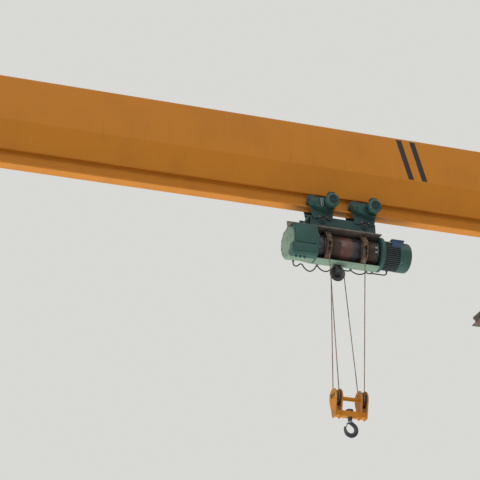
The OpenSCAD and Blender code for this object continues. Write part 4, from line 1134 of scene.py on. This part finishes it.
class FitHoist(bpy.types.Operator):
    """Adds the hoist's bolts, lids, glands, fan grille and guide springs"""
    bl_idname = "crane.fit_hoist"
    bl_label = "Fit the hoist"

    def execute(self, context):
        self.flange_bolts()
        self.gearbox_end()
        self.switch_lids()
        self.motor_end()
        self.guide_springs()
        self.bracket_bolts()
        return {"FINISHED"}

    def flange_bolts(self):
        """Bolts round both sides of the motor's ring, where the shell leaves room for them"""
        bm = bmesh.new()
        for spot in around(12, 0.179, (RING_END, 0, DRUM.z), X, 0.13):
            bolt(bm, spot, X, 0.013)
        for spot in around(12, 0.184, (RING_END - 0.036, 0, DRUM.z), -X, 0.13):
            if spot.z < DRUM.z + 0.10 and spot.y > -0.12:
                bolt(bm, spot, -X, 0.013, washer=False)
        piece("flange_bolts", bm, "hoist", "trolley")

    def gearbox_end(self):
        """The bearing's cover on the gearbox, bolts round it and the end plate, and a drain plug"""
        bolts, cover = bmesh.new(), bmesh.new()
        for spot in around(10, 0.150, (GEARBOX_END + 0.008, 0, DRUM.z), -X, 0.1):
            bolt(bolts, spot, -X, 0.015)
        turned(cover, (GEARBOX_END, 0, DRUM.z), -X,
               ((0, 0.012), (0.050, 0.012), (0.056, 0.008), (0.060, 0)))
        for spot in around(6, 0.044, (GEARBOX_END - 0.010, 0, DRUM.z), -X):
            bolt(bolts, spot, -X, 0.010, washer=False)
        rod(bolts, (GEARBOX_END + 0.150, -0.060, DRUM.z - 0.172), -Z, 0.011, 0.022, 6, 1)
        piece("gearbox_cover", cover, "shell", "trolley")
        piece("gearbox_bolts", bolts, "shell", "trolley")

    def switch_lids(self):
        """Two screwed and hinged lids on the switch box, and three cable glands under it"""
        lids, parts = bmesh.new(), bmesh.new()
        low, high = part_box("switch_box")
        split = DRUM.z - 0.094
        # Front, left and right, bottom and top of the upper lid and the lower one
        for front, x0, x1, z0, z1 in (
                (-0.212, low.x + 0.048, high.x - 0.028, split + 0.010, high.z - 0.016),
                (-0.230, low.x + 0.010, high.x - 0.030, low.z + 0.030, split - 0.008)):
            slab(lids, (x0, front - 0.010, z0), (x1, front, z1), 4, 3)
            for x in (x0 + 0.014, x1 - 0.014):
                for z in (z0 + 0.013, z1 - 0.013):
                    rod(parts, (x, front - 0.010, z), -Y, 0.0055, 0.003, 12, 0.8)
            for share in (0.25, 0.75):
                rod(parts, (x0 - 0.003, front - 0.006, z0 + (z1 - z0) * share - 0.016), Z, 0.004,
                    0.032, 10, 0.8)
        for dx in (0.06, 0.11, 0.16):
            rod(parts, (low.x + dx, -0.160, low.z + 0.002), -Z, 0.012, 0.016, 6, 1)
            rod(parts, (low.x + dx, -0.160, low.z - 0.012), -Z, 0.009, 0.012, 16, 1)
        piece("switch_box_lids", lids, "hoist", "trolley")
        piece("switch_box_fittings", parts, "hoist", "trolley")

    def motor_end(self):
        """Fan grille on the cowl with a near-black disc of painted shade behind it, and screws of
        cowl and terminal box
        """
        grille, shade, screws = bmesh.new(), bmesh.new(), bmesh.new()
        face = Vector((COWL_HIGH.x - 0.006, 0, DRUM.z))
        # A thin near-black disc under the grille is painted shade, for the shade inside the cowl
        rod(shade, face, X, 0.106, 0.001, 48)
        guard = face + X * 0.004
        for radius in (0.022, 0.038, 0.054, 0.070, 0.086, 0.102):
            hoop(grille, guard, X, radius, 0.0028)
        for spot in around(8, 0.060, guard, X):
            rod(grille, guard.lerp(spot, 0.3), spot - guard, 0.0028, 0.088, 6)
        rod(grille, face, X, 0.020, 0.008, 24, 1.5)
        for spot in around(4, 0.1675, (COWL_LOW.x + 0.020, 0, DRUM.z), X, math.pi / 4):
            out = Vector((0, spot.y, spot.z - DRUM.z)).normalized()
            rod(screws, spot - out * 0.001, out, 0.007, 0.004, 12, 1)
        low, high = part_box("terminal_box")
        for x in (low.x + 0.010, high.x - 0.010):
            for y in (low.y + 0.010, high.y - 0.010):
                rod(screws, (x, y, high.z), Z, 0.005, 0.003, 12, 0.8)
        gland = Vector((low.x + 0.004, low.y + 0.030, high.z - 0.034))
        rod(screws, gland, -X, 0.013, 0.020, 6, 1)
        rod(screws, gland - X * 0.020, -X, 0.0095, 0.014, 16, 1)
        piece("cowl_grille", grille, "hoist", "trolley")
        piece("cowl_shade", shade, "dark", "trolley")
        piece("motor_screws", screws, "zinc", "trolley")

    def guide_springs(self):
        """A garter spring lies on each shoulder of a rope guide and presses its halves together"""
        radius = GUIDE_HIGH.y - 0.003
        coil_radius, points_a_coil, points = 0.0028, 7, 1100
        start, span = math.radians(-26), math.radians(232)
        screws = bmesh.new()
        for side, x in enumerate(GUIDES_X):
            for shoulder in (-1, 1):
                route = []
                for i in range(points + 1):
                    a = start - span * i / points
                    coil = 2 * math.pi * i / points_a_coil
                    reach = radius + coil_radius * math.cos(coil)
                    route.append(Vector((x + shoulder * 0.022 + coil_radius * math.sin(coil),
                                         reach * math.cos(a), DRUM.z + reach * math.sin(a))))
                bm = bmesh.new()
                swept(bm, route, 0.0007, section=4)
                name = f"garter_spring_{2 * side + (shoulder + 3) // 2}"
                piece(name, bm, "zinc", "trolley", 80)
            for z in (-0.060, 0.060):
                y = -math.sqrt((GUIDE_HIGH.y - 0.0002) ** 2 - z * z)
                out = Vector((0, y, z)).normalized()
                for dx in (-0.014, 0.014):
                    seat = Vector((x + dx, y, DRUM.z + z)) - out * 0.002
                    rod(screws, seat, out, 0.0055, 0.005, 6, 0.6)
        piece("guide_screws", screws, "zinc", "trolley")

    def bracket_bolts(self):
        """A washer and nut on each end of the fixed sheave's pin"""
        bm = bmesh.new()
        low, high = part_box("sheave_bracket")
        for y, s in ((low.y, -1), (high.y, 1)):
            rod(bm, (EQ.x, y, EQ.z), Y * s, 0.021, 0.004, 24, 1)
            rod(bm, (EQ.x, y + s * 0.004, EQ.z), Y * s, 0.017, 0.012, 6, 1)
        piece("sheave_pin_nuts", bm, "iron", "trolley")


class FitBlock(bpy.types.Operator):
    """Adds the hook block's keeper plates and bolts"""
    bl_idname = "crane.fit_block"
    bl_label = "Fit the hook block"

    def execute(self, context):
        plates, bolts = bmesh.new(), bmesh.new()
        low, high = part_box("block_frame")
        # Height of the crosshead that carries the hook
        cross = low.z + 0.036
        for x, s in ((low.x, -1), (high.x, 1)):
            out = X * s
            cheek = x - s * 0.014
            rod(plates, (x, BLOCK.y, BLOCK.z), out, 0.019, 0.004, 24, 1.5)
            slab(plates, (cheek, BLOCK.y - 0.052, BLOCK.z + 0.018),
                 (cheek + s * 0.006, BLOCK.y + 0.052, BLOCK.z + 0.040), 1)
            for y in (-0.038, 0.038):
                bolt(bolts, (cheek + s * 0.006, BLOCK.y + y, BLOCK.z + 0.029), out, 0.013)
            for y, z in ((-0.024, 0.0), (0.024, 0.0), (0, 0.024)):
                bolt(bolts, (cheek, BLOCK.y + y, cross + z), out, 0.013)
        for x in BLOCKS_X:
            for s in (-1, 1):
                for y in (-0.070, 0.070):
                    seat = (x + s * 0.039, BLOCK.y + y, BLOCK.z + 0.052)
                    rod(bolts, seat, X * s, 0.008, 0.006, 6, 0.6)
        piece("block_keepers", plates, "iron", "hook_block")
        piece("block_bolts", bolts, "zinc", "hook_block")
        return {"FINISHED"}


class CranePanel(bpy.types.Panel):
    """Lists the steps that dress the crane"""
    bl_idname = "VIEW3D_PT_crane"
    bl_label = "Crane"
    bl_space_type = "VIEW_3D"
    bl_region_type = "UI"
    bl_category = "Crane"

    def draw(self, context):
        for operator in STEPS:
            self.layout.operator(operator.bl_idname)
        for group in (context.scene.crane_sizes, context.scene.crane_colours):
            for key in type(group).__annotations__:
                self.layout.prop(group, key)


STEPS = (SetStage, ReeveRope, WindDrum, HangCable, DressBridge, DressTrolley, BoltBridge, FitTrucks,
         FitTrolley, FitHoist, FitBlock)
CLASSES = (CraneSizes, CraneColours, *STEPS, CranePanel)


def register():
    """Adds the crane's classes and settings to Blender."""
    for item in CLASSES:
        bpy.utils.register_class(item)
    bpy.types.Scene.crane_sizes = bpy.props.PointerProperty(type=CraneSizes)
    bpy.types.Scene.crane_colours = bpy.props.PointerProperty(type=CraneColours)


def unregister():
    """Takes them out again."""
    del bpy.types.Scene.crane_colours
    del bpy.types.Scene.crane_sizes
    for item in reversed(CLASSES):
        bpy.utils.unregister_class(item)


def main():
    """Dresses the crane step by step."""
    register()
    for operator in STEPS:
        group, name = operator.bl_idname.split(".")
        getattr(getattr(bpy.ops, group), name)()


if __name__ == "__main__":
    main()
